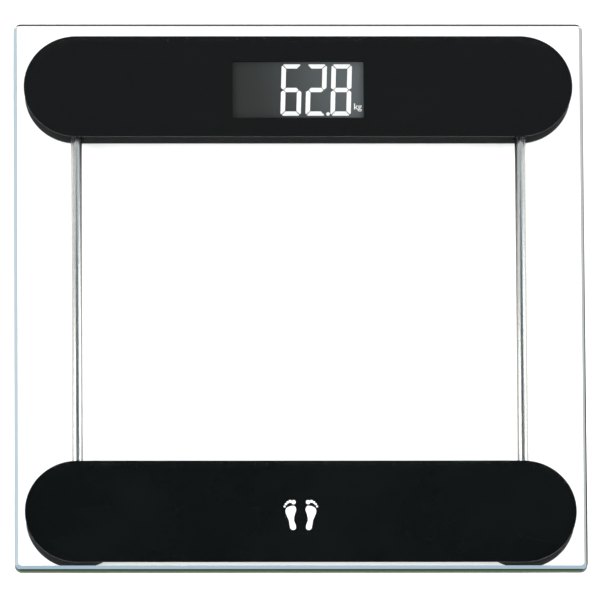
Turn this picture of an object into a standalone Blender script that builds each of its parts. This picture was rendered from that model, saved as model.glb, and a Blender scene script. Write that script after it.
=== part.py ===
"""Digital bathroom scale: a clear glass platform on two black pods, with four weighing feet.

Metres, +Z up. The origin is on the floor at the middle of the platform. The display pod is
at +Y and the plain front end at -Y. Heights are counted up from the rubber foot pads.
"""

import math

import bmesh
import bpy
from mathutils import Vector

MM = 0.001
GAP = 0.3 * MM  # air between two pieces that touch

# Glass platform
GLASS_WIDTH = 310.0 * MM
GLASS_DEPTH = 310.0 * MM
GLASS_THICKNESS = 8.0 * MM
GLASS_CORNER = 4.0 * MM
GLASS_EDGE = 2.0 * MM  # radius ground along every edge
POD_MARGIN = 5.6 * MM  # from the glass edge in to the black film

# Feet and load cells
PAD_RADIUS = 15.0 * MM
PAD_HEIGHT = 2.0 * MM
PAD_PROUD = 1.5 * MM
PAD_EDGE = 0.6 * MM  # bevel round the pad's lower edge
CUP_RADIUS = 18.0 * MM
CUP_FLOOR = 1.5 * MM
CUP_EDGE = 0.5 * MM
CUP_WELL = 13.0 * MM
CELL_SIDE = 34.0 * MM
CELL_CORNER = 7.5 * MM
CELL_THICKNESS = 2.0 * MM
CELL_CLEARANCE = 0.4 * MM
CELL_SLOT = 1.6 * MM
TONGUE_SIDE = 17.0 * MM
RIM_WALL = 1.6 * MM
RIM_HEIGHT = 2.0 * MM
FLANGE_THICKNESS = 1.9 * MM
FOOT_CLEARANCE = 0.8 * MM
DOME_RADIUS = 4.0 * MM
DOME_HEIGHT = 1.4 * MM
DOME_CROWN = 0.5 * MM
BOSS_RADIUS = 4.5 * MM

# Pods
GROUND_CLEARANCE = 4.0 * MM
COVER_THICKNESS = 1.8 * MM
PLATE = 1.4 * MM
WALL = 2.0 * MM
DRAFT = 0.35 * MM
HOUSING_CHAMFER = 0.7 * MM
FLANGE_ROOM = 3.0 * MM
FILM_THICKNESS = 0.4 * MM
FILM_MARGIN = 0.35 * MM
RING_LIP = 1.4 * MM
RING_LIP_ROOM = 1.3 * MM  # between the lip and the tube's bush

# Tubes that carry the front wires
TUBE_DIAMETER = 6.0 * MM
TUBE_WALL = 0.8 * MM
TUBE_HEADROOM = 0.4 * MM
TUBE_END_ROOM = 0.5 * MM
BUSH_WALL = 0.6 * MM
FRONT_WIRE_RADIUS = 1.0 * MM
BACK_WIRE_RADIUS = 0.8 * MM
WIRE_LIFT = 2.2 * MM  # the wires pass this high over a load cell
WIRE_END_ROOM = 1.4 * MM  # from a wire's end to the board
CUT_PAST = 1.0 * MM  # cutters run this far past a face

# Display
WINDOW_WIDTH = 71.3 * MM
WINDOW_HEIGHT = 32.5 * MM
WINDOW_OFFSET = -1.7 * MM  # the window sits this far in front of the pod's centre line
WINDOW_CORNER = 0.6 * MM
LCD_BORDER_X = 1.35 * MM
LCD_BORDER_Y = 1.0 * MM
LCD_THICKNESS = 1.9 * MM
BACKLIGHT_THICKNESS = 2.4 * MM
BEZEL_SIDE = 0.8 * MM
BEZEL_END = 5.0 * MM
CONNECTOR_WIDTH = 1.4 * MM
CONNECTOR_INSET = 8.0 * MM

# Circuit board, switch and button
BOARD_THICKNESS = 1.6 * MM
BOARD_DEPTH = 37.0 * MM
BOARD_PAST_BUTTON = 9.0 * MM
CHIP_RADIUS = 5.0 * MM
CHIP_HEIGHT = 1.4 * MM
SWITCH_SIDE = 6.0 * MM
SWITCH_BODY = 1.7 * MM
SWITCH_HEIGHT = 2.5 * MM
SWITCH_PLUNGER = 1.6 * MM
BUTTON_RADIUS = 4.5 * MM
BUTTON_CLEARANCE = 0.35 * MM
BUTTON_FLANGE = 6.0 * MM
BUTTON_FLANGE_THICKNESS = 0.8 * MM
BUTTON_PROUD = 0.6 * MM
BUTTON_TRAVEL = 0.6 * MM
BUTTON_STEM = 1.7 * MM

# Batteries (two AAA cells) and their door
BATTERY_DIAMETER = 10.5 * MM
BATTERY_LENGTH = 44.5 * MM
BATTERY_NIPPLE_RADIUS = 1.9 * MM
BATTERY_NIPPLE_LENGTH = 1.0 * MM
BATTERY_EDGE = 0.5 * MM
BATTERY_ROOM = 0.5 * MM
BATTERY_HEADROOM = 0.8 * MM
BATTERY_SPACING = 0.6 * MM
BAY_END_ROOM = 2.5 * MM
BAY_WALL = 1.2 * MM
CONTACT_THICKNESS = 0.5 * MM
SPRING_WIRE = 0.35 * MM
SPRING_WIDE = 3.6 * MM  # coil radius at the plate
SPRING_NARROW = 2.0 * MM  # coil radius at the battery
SPRING_TURNS = 2.5
DOOR_CLEARANCE = 0.35 * MM
DOOR_TAB_WIDTH = 6.0 * MM
DOOR_TAB_REACH = 2.2 * MM
DOOR_TAB_THICKNESS = 0.9 * MM
DOOR_TAB_FOOT = 1.0 * MM
LATCH_WIDTH = 14.0 * MM
LATCH_SLIT = 0.8 * MM
LATCH_LENGTH = 8.0 * MM

# Screws
SCREW_RADIUS = 1.15 * MM
SCREW_LENGTH = 7.0 * MM
SCREW_HEAD_RADIUS = 2.4 * MM
SCREW_HEAD_HEIGHT = 1.1 * MM
SCREW_SEAT = 1.0 * MM  # depth of the counterbore for the head
POST_RADIUS = 2.8 * MM
COVER_RIM = 0.8 * MM  # plastic left between a counterbore and the cover's edge
POST_TO_FLANGE = 8.0 * MM
POST_TO_BEZEL = 1.4 * MM
BOARD_SCREW_Y = 14.0 * MM
BOARD_SCREW_RADIUS = 0.9 * MM
BOARD_SCREW_LENGTH = 4.2 * MM
BOARD_HEAD_RADIUS = 1.7 * MM
BOARD_HEAD_HEIGHT = 1.0 * MM
BOARD_POST_INSET = 3.5 * MM
RECESS_WIDTH = 0.7 * MM
RECESS_DEPTH = 0.6 * MM

# Heights that follow from the values above
RECESS_CEILING = PAD_HEIGHT + GAP
WELL_FLOOR = RECESS_CEILING + CUP_FLOOR
COVER_TOP = GROUND_CLEARANCE + COVER_THICKNESS
FLANGE_BOTTOM = COVER_TOP + GAP
FLANGE_TOP = FLANGE_BOTTOM + FLANGE_THICKNESS
CELL_BOTTOM = FLANGE_TOP + GAP
CELL_TOP = CELL_BOTTOM + CELL_THICKNESS
POD_DEPTH = COVER_THICKNESS + BATTERY_ROOM + BATTERY_DIAMETER + BATTERY_HEADROOM + PLATE
HOUSING_TOP = GROUND_CLEARANCE + POD_DEPTH
PLATE_BOTTOM = HOUSING_TOP - PLATE
FILM_BOTTOM = HOUSING_TOP + GAP
GLASS_BOTTOM = FILM_BOTTOM + FILM_THICKNESS + GAP
TUBE_HEIGHT = PLATE_BOTTOM - TUBE_HEADROOM - TUBE_DIAMETER / 2
LCD_TOP = PLATE_BOTTOM - GAP
LCD_BOTTOM = LCD_TOP - LCD_THICKNESS
BACKLIGHT_TOP = LCD_BOTTOM - GAP
BACKLIGHT_BOTTOM = BACKLIGHT_TOP - BACKLIGHT_THICKNESS
BOARD_TOP = BACKLIGHT_BOTTOM - GAP
BOARD_BOTTOM = BOARD_TOP - BOARD_THICKNESS
SWITCH_TOP = BOARD_BOTTOM - GAP
BATTERY_HEIGHT = COVER_TOP + BATTERY_ROOM + BATTERY_DIAMETER / 2

# Places that follow from the values above
CELL_REACH = (CELL_SIDE / 2 - CELL_CORNER) * math.sqrt(2) + CELL_CORNER
RIM_RADIUS = CELL_REACH + CELL_CLEARANCE
FLANGE_RADIUS = RIM_RADIUS + RIM_WALL
INNER_RADIUS = FLANGE_RADIUS + FLANGE_ROOM
HOUSING_RADIUS = INNER_RADIUS + WALL + DRAFT
FILM_RADIUS = HOUSING_RADIUS + FILM_MARGIN
COVER_RADIUS = INNER_RADIUS - GAP
FOOT_HOLE = CUP_RADIUS + FOOT_CLEARANCE
FOOT_X = GLASS_WIDTH / 2 - POD_MARGIN - FILM_RADIUS
FOOT_Y = GLASS_DEPTH / 2 - POD_MARGIN - FILM_RADIUS
TUBE_END = FOOT_Y - FLANGE_RADIUS - TUBE_END_ROOM
BUSH_RADIUS = TUBE_DIAMETER / 2 + GAP + BUSH_WALL
LCD_WIDTH = WINDOW_WIDTH + 2 * LCD_BORDER_X
LCD_DEPTH = WINDOW_HEIGHT + 2 * LCD_BORDER_Y
DISPLAY_Y = FOOT_Y + WINDOW_OFFSET
BEZEL_HALF_WIDTH = LCD_WIDTH / 2 + GAP + BEZEL_END
BEZEL_HALF_DEPTH = LCD_DEPTH / 2 + GAP + BEZEL_SIDE
FLANGE_EDGE_X = FOOT_X - FLANGE_RADIUS
BUTTON_X = (BEZEL_HALF_WIDTH + FLANGE_EDGE_X) / 2
BAY_X = -BUTTON_X
BAY_LENGTH = BATTERY_LENGTH + 2 * BAY_END_ROOM
BATTERY_Y = (BATTERY_DIAMETER + BATTERY_SPACING) / 2
BAY_WIDTH = 2 * (BATTERY_Y + BATTERY_DIAMETER / 2 + BATTERY_SPACING)
DOOR_LENGTH = BAY_LENGTH + 2 * BAY_WALL
HINGE_RADIUS = COVER_THICKNESS / 2  # the flap's round front edge turns about its own middle
TAB_TOP = HINGE_RADIUS + GAP + DOOR_TAB_THICKNESS
DOOR_OVERLAP = HINGE_RADIUS + math.hypot(DOOR_TAB_FOOT, TAB_TOP) + GAP  # room for the tabs to turn
DOOR_WIDTH = BAY_WIDTH + 2 * (BAY_WALL + DOOR_OVERLAP)
POST_Y = COVER_RADIUS - COVER_RIM - SCREW_HEAD_RADIUS - GAP
OUTER_POST_X = FLANGE_EDGE_X - POST_TO_FLANGE
INNER_POST_X = BEZEL_HALF_WIDTH + POST_RADIUS + POST_TO_BEZEL
LANE_Y = (BAY_WIDTH / 2 + BAY_WALL + POST_Y - POST_RADIUS) / 2  # clear lane for the wires
BOARD_LEFT = -BEZEL_HALF_WIDTH
BOARD_RIGHT = BUTTON_X + BOARD_PAST_BUTTON
BOARD_SCREW_X = BEZEL_HALF_WIDTH - BEZEL_END / 2
BOARD_POST_X = BOARD_RIGHT - BOARD_POST_INSET

FEET = {
    "back_left": (-FOOT_X, FOOT_Y),
    "back_right": (FOOT_X, FOOT_Y),
    "front_left": (-FOOT_X, -FOOT_Y),
    "front_right": (FOOT_X, -FOOT_Y),
}
COVER_SCREWS = [
    (x, FOOT_Y + side * POST_Y)
    for x in (-OUTER_POST_X, INNER_POST_X, OUTER_POST_X)
    for side in (-1, 1)
]
BOARD_SCREWS = [
    (x, FOOT_Y + side * BOARD_SCREW_Y) for x in (-BOARD_SCREW_X, BOARD_POST_X) for side in (-1, 1)
]


def clear_scene():
    for obj in list(bpy.data.objects):
        bpy.data.objects.remove(obj, do_unlink=True)


def material(name, color, roughness, metallic=0.0, transmission=0.0):
    made = bpy.data.materials.new(name)
    made.use_nodes = True
    shader = made.node_tree.nodes["Principled BSDF"]
    shader.inputs["Base Color"].default_value = (*color, 1.0)
    shader.inputs["Roughness"].default_value = roughness
    shader.inputs["Metallic"].default_value = metallic
    shader.inputs["Transmission Weight"].default_value = transmission
    made.diffuse_color = (*color, 1.0)
    return made


# ---- outlines in the XY plane, anticlockwise ----


def arc(centre, radius, start, end, steps):
    """Points along an arc, both ends included; angles in degrees."""
    turns = [math.radians(start + (end - start) * i / steps) for i in range(steps + 1)]
    return [(centre[0] + radius * math.cos(t), centre[1] + radius * math.sin(t)) for t in turns]


def circle(radius, steps=40, centre=(0.0, 0.0)):
    return arc(centre, radius, 0, 360 * (steps - 1) / steps, steps - 1)


def stadium(half_length, radius, steps=20):
    right = arc((half_length, 0), radius, -90, 90, steps)
    left = arc((-half_length, 0), radius, 90, 270, steps)
    return right + left


def rectangle(width, depth, corner=0.0, steps=5, centre=(0.0, 0.0)):
    x, y = width / 2 - corner, depth / 2 - corner
    corners = [(x, y, 0), (-x, y, 90), (-x, -y, 180), (x, -y, 270)]
    if not corner:
        return [(centre[0] + cx, centre[1] + cy) for cx, cy, start in corners]
    points = []
    for cx, cy, start in corners:
        points += arc((centre[0] + cx, centre[1] + cy), corner, start, start + 90, steps)
    return points


# ---- solids, each added to a bmesh ----


def loft(bm, sections):
    """A closed solid through outlines with equal point counts, given as (outline, height)."""
    rings = [[bm.verts.new((x, y, z)) for x, y in outline] for outline, z in sections]
    count = len(rings[0])
    bm.faces.new(list(reversed(rings[0])))
    bm.faces.new(rings[-1])
    for low, high in zip(rings, rings[1:]):
        for i in range(count):
            j = (i + 1) % count
            bm.faces.new((low[i], low[j], high[j], high[i]))


def prism(bm, outline, bottom, top):
    loft(bm, [(outline, bottom), (outline, top)])


def box(bm, low, high):
    centre = ((low[0] + high[0]) / 2, (low[1] + high[1]) / 2)
    prism(bm, rectangle(high[0] - low[0], high[1] - low[1], centre=centre), low[2], high[2])


def turned(bm, profile, steps=36, centre=(0.0, 0.0), ring=False):
    """A solid of revolution about Z, from a profile of (radius, height); a ring's profile closes."""
    path = [bm.verts.new((centre[0] + r, centre[1], z)) for r, z in profile]
    pairs = list(zip(path, path[1:])) + ([(path[-1], path[0])] if ring else [])
    edges = [bm.edges.new(pair) for pair in pairs]
    bmesh.ops.spin(bm, geom=edges, cent=(*centre, 0.0), axis=(0, 0, 1), angle=math.tau, steps=steps)
    bmesh.ops.remove_doubles(bm, verts=bm.verts, dist=1e-6)


def along_y(bm, outline, start, end):
    """A prism along Y whose outline is given in X and Z."""
    ends = [[bm.verts.new((x, y, z)) for x, z in outline] for y in (start, end)]
    bm.faces.new(ends[0])
    bm.faces.new(list(reversed(ends[1])))
    for i in range(len(outline)):
        j = (i + 1) % len(outline)
        bm.faces.new((ends[1][i], ends[1][j], ends[0][j], ends[0][i]))


def along_x(bm, outline, start, end):
    """A prism along X whose outline is given in Y and Z."""
    ends = [[bm.verts.new((x, y, z)) for y, z in outline] for x in (start, end)]
    bm.faces.new(ends[0])
    bm.faces.new(list(reversed(ends[1])))
    for i in range(len(outline)):
        j = (i + 1) % len(outline)
        bm.faces.new((ends[0][i], ends[1][i], ends[1][j], ends[0][j]))


def sweep(bm, points, radius, sides=5):
    """A round wire through the points, with flat ends."""
    rings = []
    side = None
    for i, point in enumerate(points):
        ahead = (points[min(i + 1, len(points) - 1)] - points[max(i - 1, 0)]).normalized()
        side = ahead.orthogonal() if side is None else side - ahead * side.dot(ahead)
        side.normalize()
        up = ahead.cross(side)
        turns = [math.tau * k / sides for k in range(sides)]
        rings.append(
            [bm.verts.new(point + radius * (side * math.cos(t) + up * math.sin(t))) for t in turns]
        )
    bm.faces.new(list(reversed(rings[0])))
    bm.faces.new(rings[-1])
    for low, high in zip(rings, rings[1:]):
        for k in range(sides):
            m = (k + 1) % sides
            bm.faces.new((low[k], low[m], high[m], high[k]))


# ---- objects ----


def mesh_of(name, build):
    bm = bmesh.new()
    build(bm)
    bmesh.ops.recalc_face_normals(bm, faces=bm.faces)
    mesh = bpy.data.meshes.new(name)
    bm.to_mesh(mesh)
    bm.free()
    mesh.shade_smooth()
    mesh.set_sharp_from_angle(angle=math.radians(35))
    return mesh


def place(name, data, finish, location=(0.0, 0.0, 0.0), parent=None):
    obj = bpy.data.objects.new(name, data)
    bpy.context.scene.collection.objects.link(obj)
    if finish and not data.materials:
        data.materials.append(finish)
    obj.parent = parent
    obj.location = location
    return obj


def piece(name, finish, build, location=(0.0, 0.0, 0.0), parent=None):
    return place(name, mesh_of(name, build), finish, location, parent)


def empty(name, location):
    obj = bpy.data.objects.new(name, None)
    bpy.context.scene.collection.objects.link(obj)
    obj.location = location
    return obj


def combine(obj, name, build, operation):
    """Cuts or adds the built shape, which stays in the scene as a hidden guide in the piece's frame."""
    guide = place(name, mesh_of(name, build), None, obj.location, obj.parent)
    guide.hide_render = True
    guide.display_type = "WIRE"
    step = obj.modifiers.new(name, "BOOLEAN")
    step.operation = operation
    step.object = guide


def cut(obj, name, build):
    combine(obj, name, build, "DIFFERENCE")


def add(obj, name, build):
    combine(obj, name, build, "UNION")


def glass_platform(finish):
    turns = [math.radians(30 * i) for i in range(4)]
    inset = [(GLASS_EDGE * (1 - math.sin(t)), GLASS_EDGE * (1 - math.cos(t))) for t in turns]
    lower = [(side, GLASS_BOTTOM + up) for side, up in inset]
    upper = [(side, GLASS_BOTTOM + GLASS_THICKNESS - up) for side, up in reversed(inset)]

    def build(bm):
        sections = []
        for side, height in lower + upper:
            width, depth = GLASS_WIDTH - 2 * side, GLASS_DEPTH - 2 * side
            sections.append((rectangle(width, depth, GLASS_CORNER - side), height))
        loft(bm, sections)

    piece("glass_platform", finish, build)


def films(finish):
    outline = stadium(FOOT_X, FILM_RADIUS)
    top = FILM_BOTTOM + FILM_THICKNESS

    def build(bm):
        prism(bm, outline, FILM_BOTTOM, top)

    piece("front_mask_film", finish, build, (0, -FOOT_Y, 0))
    back = piece("back_mask_film", finish, build, (0, FOOT_Y, 0))
    cut(back, "film_window", lambda bm: window(bm, FILM_BOTTOM - CUT_PAST, top + CUT_PAST))


def window(bm, bottom, top):
    """The display window, in the back pod's frame."""
    outline = rectangle(
        WINDOW_WIDTH, WINDOW_HEIGHT, WINDOW_CORNER, steps=3, centre=(0, WINDOW_OFFSET)
    )
    prism(bm, outline, bottom, top)


def shell_sections(outline):
    """Outside of a pod: a drafted wall with a small chamfer round its foot."""
    wall_foot = HOUSING_RADIUS - DRAFT
    return [
        (outline(wall_foot - HOUSING_CHAMFER), GROUND_CLEARANCE),
        (outline(wall_foot), GROUND_CLEARANCE + HOUSING_CHAMFER),
        (outline(HOUSING_RADIUS), HOUSING_TOP),
    ]


def tube_hole(bm, x, wall_y, inward):
    """A hole through a pod's wall for a tube and its bush; inward is +1 when the pod is at +Y."""
    reach = 4 * WALL
    outline = circle(BUSH_RADIUS + GAP, 20, (x, TUBE_HEIGHT))
    along_y(bm, outline, wall_y - reach * inward, wall_y + reach * inward)


def back_housing(finish):
    shell = piece(
        "back_housing",
        finish,
        lambda bm: loft(bm, shell_sections(lambda radius: stadium(FOOT_X, radius))),
        (0, FOOT_Y, 0),
    )
    cut(shell, "back_cavity", lambda bm: prism(bm, stadium(FOOT_X, INNER_RADIUS), 0, PLATE_BOTTOM))

    def posts(bm):
        overlap = PLATE_BOTTOM + PLATE / 2
        for x, y in COVER_SCREWS:
            centre = (x, y - FOOT_Y)
            prism(bm, circle(POST_RADIUS, 14, centre), COVER_TOP + GAP, overlap)
        for x, y in BOARD_SCREWS:
            if x > 0:
                prism(bm, circle(POST_RADIUS, 14, (x, y - FOOT_Y)), BOARD_TOP + GAP, overlap)
        for x in (-FOOT_X, FOOT_X):
            prism(bm, circle(BOSS_RADIUS, 16, (x, 0)), CELL_TOP + 2 * GAP + DOME_HEIGHT, overlap)
        prism(bm, rectangle(DOOR_LENGTH, BAY_WIDTH + 2 * BAY_WALL, centre=(BAY_X, 0)),
              COVER_TOP + GAP, overlap)

    add(shell, "back_posts", posts)

    def openings(bm):
        for x, y in COVER_SCREWS:
            hole = circle(SCREW_RADIUS + GAP, 10, (x, y - FOOT_Y))
            prism(bm, hole, COVER_TOP - CUT_PAST, GROUND_CLEARANCE + SCREW_LENGTH + CUT_PAST)
        for x, y in BOARD_SCREWS:
            if x > 0:
                hole = circle(BOARD_SCREW_RADIUS + GAP, 10, (x, y - FOOT_Y))
                prism(bm, hole, BOARD_TOP - CUT_PAST, PLATE_BOTTOM)
        prism(bm, rectangle(BAY_LENGTH, BAY_WIDTH, centre=(BAY_X, 0)), COVER_TOP - CUT_PAST, PLATE_BOTTOM)
        window(bm, PLATE_BOTTOM - CUT_PAST, HOUSING_TOP + CUT_PAST)
        for x in (-FOOT_X, FOOT_X):
            tube_hole(bm, x, -HOUSING_RADIUS, 1)

    cut(shell, "back_openings", openings)


def front_housing(side, finish):
    x = FEET["front_" + side][0]
    drum = piece(
        f"front_{side}_housing",
        finish,
        lambda bm: loft(bm, shell_sections(circle)),
        (x, -FOOT_Y, 0),
    )
    cut(drum, f"front_{side}_cavity", lambda bm: prism(bm, circle(INNER_RADIUS), 0, PLATE_BOTTOM))
    boss_bottom = CELL_TOP + 2 * GAP + DOME_HEIGHT
    add(
        drum,
        f"front_{side}_boss",
        lambda bm: prism(bm, circle(BOSS_RADIUS, 16), boss_bottom, PLATE_BOTTOM + PLATE / 2),
    )
    cut(drum, f"front_{side}_tube_hole", lambda bm: tube_hole(bm, 0, HOUSING_RADIUS, -1))


def snap_ring(side, finish):
    """Ring that snaps into a front housing's mouth and keeps the foot from dropping out."""
    lip_top = TUBE_HEIGHT - BUSH_RADIUS - RING_LIP_ROOM
    profile = [
        (FOOT_HOLE, GROUND_CLEARANCE),
        (COVER_RADIUS, GROUND_CLEARANCE),
        (COVER_RADIUS, lip_top),
        (COVER_RADIUS - RING_LIP, lip_top),
        (COVER_RADIUS - RING_LIP, COVER_TOP),
        (FOOT_HOLE, COVER_TOP),
    ]
    x, y = FEET["front_" + side]
    piece(f"front_{side}_ring", finish, lambda bm: turned(bm, profile, ring=True), (x, y, 0))


def base_cover(finish):
    cover = piece(
        "back_base_cover",
        finish,
        lambda bm: prism(bm, stadium(FOOT_X, COVER_RADIUS), GROUND_CLEARANCE, COVER_TOP),
        (0, FOOT_Y, 0),
    )

    def openings(bm):
        low, high = GROUND_CLEARANCE - CUT_PAST, COVER_TOP + CUT_PAST
        for x in (-FOOT_X, FOOT_X):
            prism(bm, circle(FOOT_HOLE, 40, (x, 0)), low, high)
        size = (DOOR_LENGTH + 2 * DOOR_CLEARANCE, DOOR_WIDTH + 2 * DOOR_CLEARANCE)
        prism(bm, rectangle(*size, centre=(BAY_X, 0)), low, high)
        prism(bm, circle(BUTTON_RADIUS + BUTTON_CLEARANCE, 24, (BUTTON_X, 0)), low, high)
        for x, y in COVER_SCREWS:
            centre = (x, y - FOOT_Y)
            seat = GROUND_CLEARANCE + SCREW_SEAT
            loft(bm, [
                (circle(SCREW_HEAD_RADIUS + GAP, 14, centre), low),
                (circle(SCREW_HEAD_RADIUS + GAP, 14, centre), seat),
                (circle(SCREW_RADIUS + GAP, 14, centre), seat),
                (circle(SCREW_RADIUS + GAP, 14, centre), high),
            ])

    cut(cover, "cover_openings", openings)


def foot(name, finishes):
    """One foot: rubber pad, cup and load cell move together; the dome above them squashes."""
    x, y = FEET[name]
    axis = empty(f"foot_{name}", (x, y, 0))
    pad = [(0, 0), (PAD_RADIUS - PAD_EDGE, 0), (PAD_RADIUS, PAD_EDGE)]
    pad += [(PAD_RADIUS, PAD_HEIGHT), (0, PAD_HEIGHT)]
    piece(f"foot_pad_{name}", finishes["rubber"], lambda bm: turned(bm, pad), parent=axis)
    cup = [
        (0, RECESS_CEILING),
        (PAD_RADIUS + GAP, RECESS_CEILING),
        (PAD_RADIUS + GAP, PAD_PROUD),
        (CUP_RADIUS - CUP_EDGE, PAD_PROUD),
        (CUP_RADIUS, PAD_PROUD + CUP_EDGE),
        (CUP_RADIUS, FLANGE_BOTTOM),
        (FLANGE_RADIUS, FLANGE_BOTTOM),
        (FLANGE_RADIUS, FLANGE_TOP + RIM_HEIGHT),
        (RIM_RADIUS, FLANGE_TOP + RIM_HEIGHT),
        (RIM_RADIUS, FLANGE_TOP),
        (CUP_WELL, FLANGE_TOP),
        (CUP_WELL, WELL_FLOOR),
        (0, WELL_FLOOR),
    ]
    piece(f"foot_cup_{name}", finishes["dark_plastic"], lambda bm: turned(bm, cup), parent=axis)
    load_cell(name, finishes["steel"], axis)
    low = CELL_TOP + GAP
    dome = [(0, low), (DOME_RADIUS * 0.6, low + DOME_CROWN / 4), (DOME_RADIUS, low + DOME_CROWN)]
    dome += [(DOME_RADIUS, low + DOME_HEIGHT), (0, low + DOME_HEIGHT)]
    piece(f"load_dome_{name}", finishes["rubber"], lambda bm: turned(bm, dome, 16), (x, y, 0))


def load_cell(name, finish, axis):
    """A stamped square plate whose slot frees a tongue in its middle."""
    plate = piece(
        f"load_cell_{name}",
        finish,
        lambda bm: prism(bm, rectangle(CELL_SIDE, CELL_SIDE, CELL_CORNER), CELL_BOTTOM, CELL_TOP),
        parent=axis,
    )
    half = TONGUE_SIDE / 2

    def slot(bm):
        """A U-shaped slot round three sides of the tongue."""
        wide, root = half + CELL_SLOT, -half
        outline = [(-wide, root), (-half, root), (-half, half), (half, half)]
        outline += [(half, root), (wide, root), (wide, wide), (-wide, wide)]
        prism(bm, outline, CELL_BOTTOM - CUT_PAST, CELL_TOP + CUT_PAST)

    cut(plate, f"cell_slot_{name}", slot)


def tube(side, finishes):
    x = -FOOT_X if side == "left" else FOOT_X
    radius = TUBE_DIAMETER / 2
    outside = circle(radius, 28, (x, TUBE_HEIGHT))
    bore = circle(radius - TUBE_WALL, 16, (x, TUBE_HEIGHT))
    pipe = piece(
        f"bridge_tube_{side}", finishes["steel"], lambda bm: along_y(bm, outside, -TUBE_END, TUBE_END)
    )
    past = TUBE_END + CUT_PAST
    cut(pipe, f"bridge_tube_{side}_bore", lambda bm: along_y(bm, bore, -past, past))
    start = FOOT_Y - HOUSING_RADIUS + GAP
    for end, way in (("back", 1), ("front", -1)):
        sleeve = piece(
            f"tube_bush_{end}_{side}",
            finishes["rubber"],
            lambda bm, way=way: along_y(
                bm, circle(BUSH_RADIUS, 20, (x, TUBE_HEIGHT)), way * start, way * (TUBE_END - GAP)
            ),
        )
        cut(
            sleeve,
            f"tube_bush_{end}_{side}_bore",
            lambda bm: along_y(bm, circle(radius + GAP, 20, (x, TUBE_HEIGHT)), -past, past),
        )


def display(finishes):
    """Liquid-crystal panel, its light guide, the rubber contact strip and the frame round them."""
    at = (0, DISPLAY_Y, 0)

    def lcd(bm):
        prism(bm, rectangle(LCD_WIDTH, LCD_DEPTH, 0.5 * MM, 2), LCD_BOTTOM, LCD_TOP)

    piece("lcd_panel", finishes["lcd"], lcd, at)
    strip_front = -LCD_DEPTH / 2
    strip_back = strip_front + CONNECTOR_WIDTH
    half_strip = LCD_WIDTH / 2 - CONNECTOR_INSET

    def strip(bm):
        low = (-half_strip, strip_front, BACKLIGHT_BOTTOM)
        box(bm, low, (half_strip, strip_back, BACKLIGHT_TOP))

    piece("lcd_connector", finishes["rubber"], strip, at)

    def light_guide(bm):
        low = (-LCD_WIDTH / 2, strip_back + GAP, BACKLIGHT_BOTTOM)
        box(bm, low, (LCD_WIDTH / 2, LCD_DEPTH / 2, BACKLIGHT_TOP))

    piece("lcd_backlight", finishes["milky_plastic"], light_guide, at)

    def frame(bm):
        low = (-BEZEL_HALF_WIDTH, -BEZEL_HALF_DEPTH, BACKLIGHT_BOTTOM)
        box(bm, low, (BEZEL_HALF_WIDTH, BEZEL_HALF_DEPTH, LCD_TOP))

    bezel = piece("lcd_bezel", finishes["dark_plastic"], frame, at)

    def hollow(bm):
        inside = rectangle(LCD_WIDTH + 2 * GAP, LCD_DEPTH + 2 * GAP, 0.6 * MM, 2)
        prism(bm, inside, BACKLIGHT_BOTTOM - CUT_PAST, LCD_TOP + CUT_PAST)
        for x, y in BOARD_SCREWS:
            if x < 0:
                hole = circle(BOARD_SCREW_RADIUS + GAP, 10, (x, y - DISPLAY_Y))
                prism(bm, hole, BACKLIGHT_BOTTOM - CUT_PAST, LCD_BOTTOM)

    cut(bezel, "bezel_hollow", hollow)


def circuit(finishes):
    """Main board under the display, with its potted chip and the unit switch on its underside."""
    at = (0, FOOT_Y, 0)

    def board(bm):
        low = (BOARD_LEFT, -BOARD_DEPTH / 2, BOARD_BOTTOM)
        box(bm, low, (BOARD_RIGHT, BOARD_DEPTH / 2, BOARD_TOP))

    main_board = piece("main_board", finishes["board"], board, at)

    def holes(bm):
        for x, y in BOARD_SCREWS:
            hole = circle(BOARD_SCREW_RADIUS + GAP, 10, (x, y - FOOT_Y))
            prism(bm, hole, BOARD_BOTTOM - CUT_PAST, BOARD_TOP + CUT_PAST)

    cut(main_board, "board_holes", holes)
    low = SWITCH_TOP - CHIP_HEIGHT
    chip = [(0, low), (CHIP_RADIUS * 0.55, low + 0.2 * MM), (CHIP_RADIUS * 0.9, low + 0.8 * MM)]
    chip += [(CHIP_RADIUS, SWITCH_TOP), (0, SWITCH_TOP)]
    piece("controller_chip", finishes["dark_plastic"], lambda bm: turned(bm, chip, 20), at)

    def switch(bm):
        outline = rectangle(SWITCH_SIDE, SWITCH_SIDE, 0.5 * MM, 4)
        plunger = circle(SWITCH_PLUNGER, len(outline))
        shoulder = SWITCH_TOP - SWITCH_BODY
        loft(bm, [
            (plunger, SWITCH_TOP - SWITCH_HEIGHT),
            (plunger, shoulder),
            (outline, shoulder),
            (outline, SWITCH_TOP),
        ])

    piece("unit_switch", finishes["steel"], switch, (BUTTON_X, FOOT_Y, 0))


def unit_button(finish):
    top = SWITCH_TOP - SWITCH_HEIGHT - GAP - BUTTON_TRAVEL
    flange_bottom = COVER_TOP + GAP
    flange_top = flange_bottom + BUTTON_FLANGE_THICKNESS
    low = GROUND_CLEARANCE - BUTTON_PROUD
    profile = [
        (0, low + 0.25 * MM),
        (BUTTON_RADIUS * 0.75, low + 0.1 * MM),
        (BUTTON_RADIUS * 0.9, low),
        (BUTTON_RADIUS, low + 0.4 * MM),
        (BUTTON_RADIUS, flange_bottom),
        (BUTTON_FLANGE, flange_bottom),
        (BUTTON_FLANGE, flange_top),
        (BUTTON_STEM, flange_top),
        (BUTTON_STEM, top),
        (0, top),
    ]
    piece("unit_button", finish, lambda bm: turned(bm, profile, 24), (BUTTON_X, FOOT_Y, 0))


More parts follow.
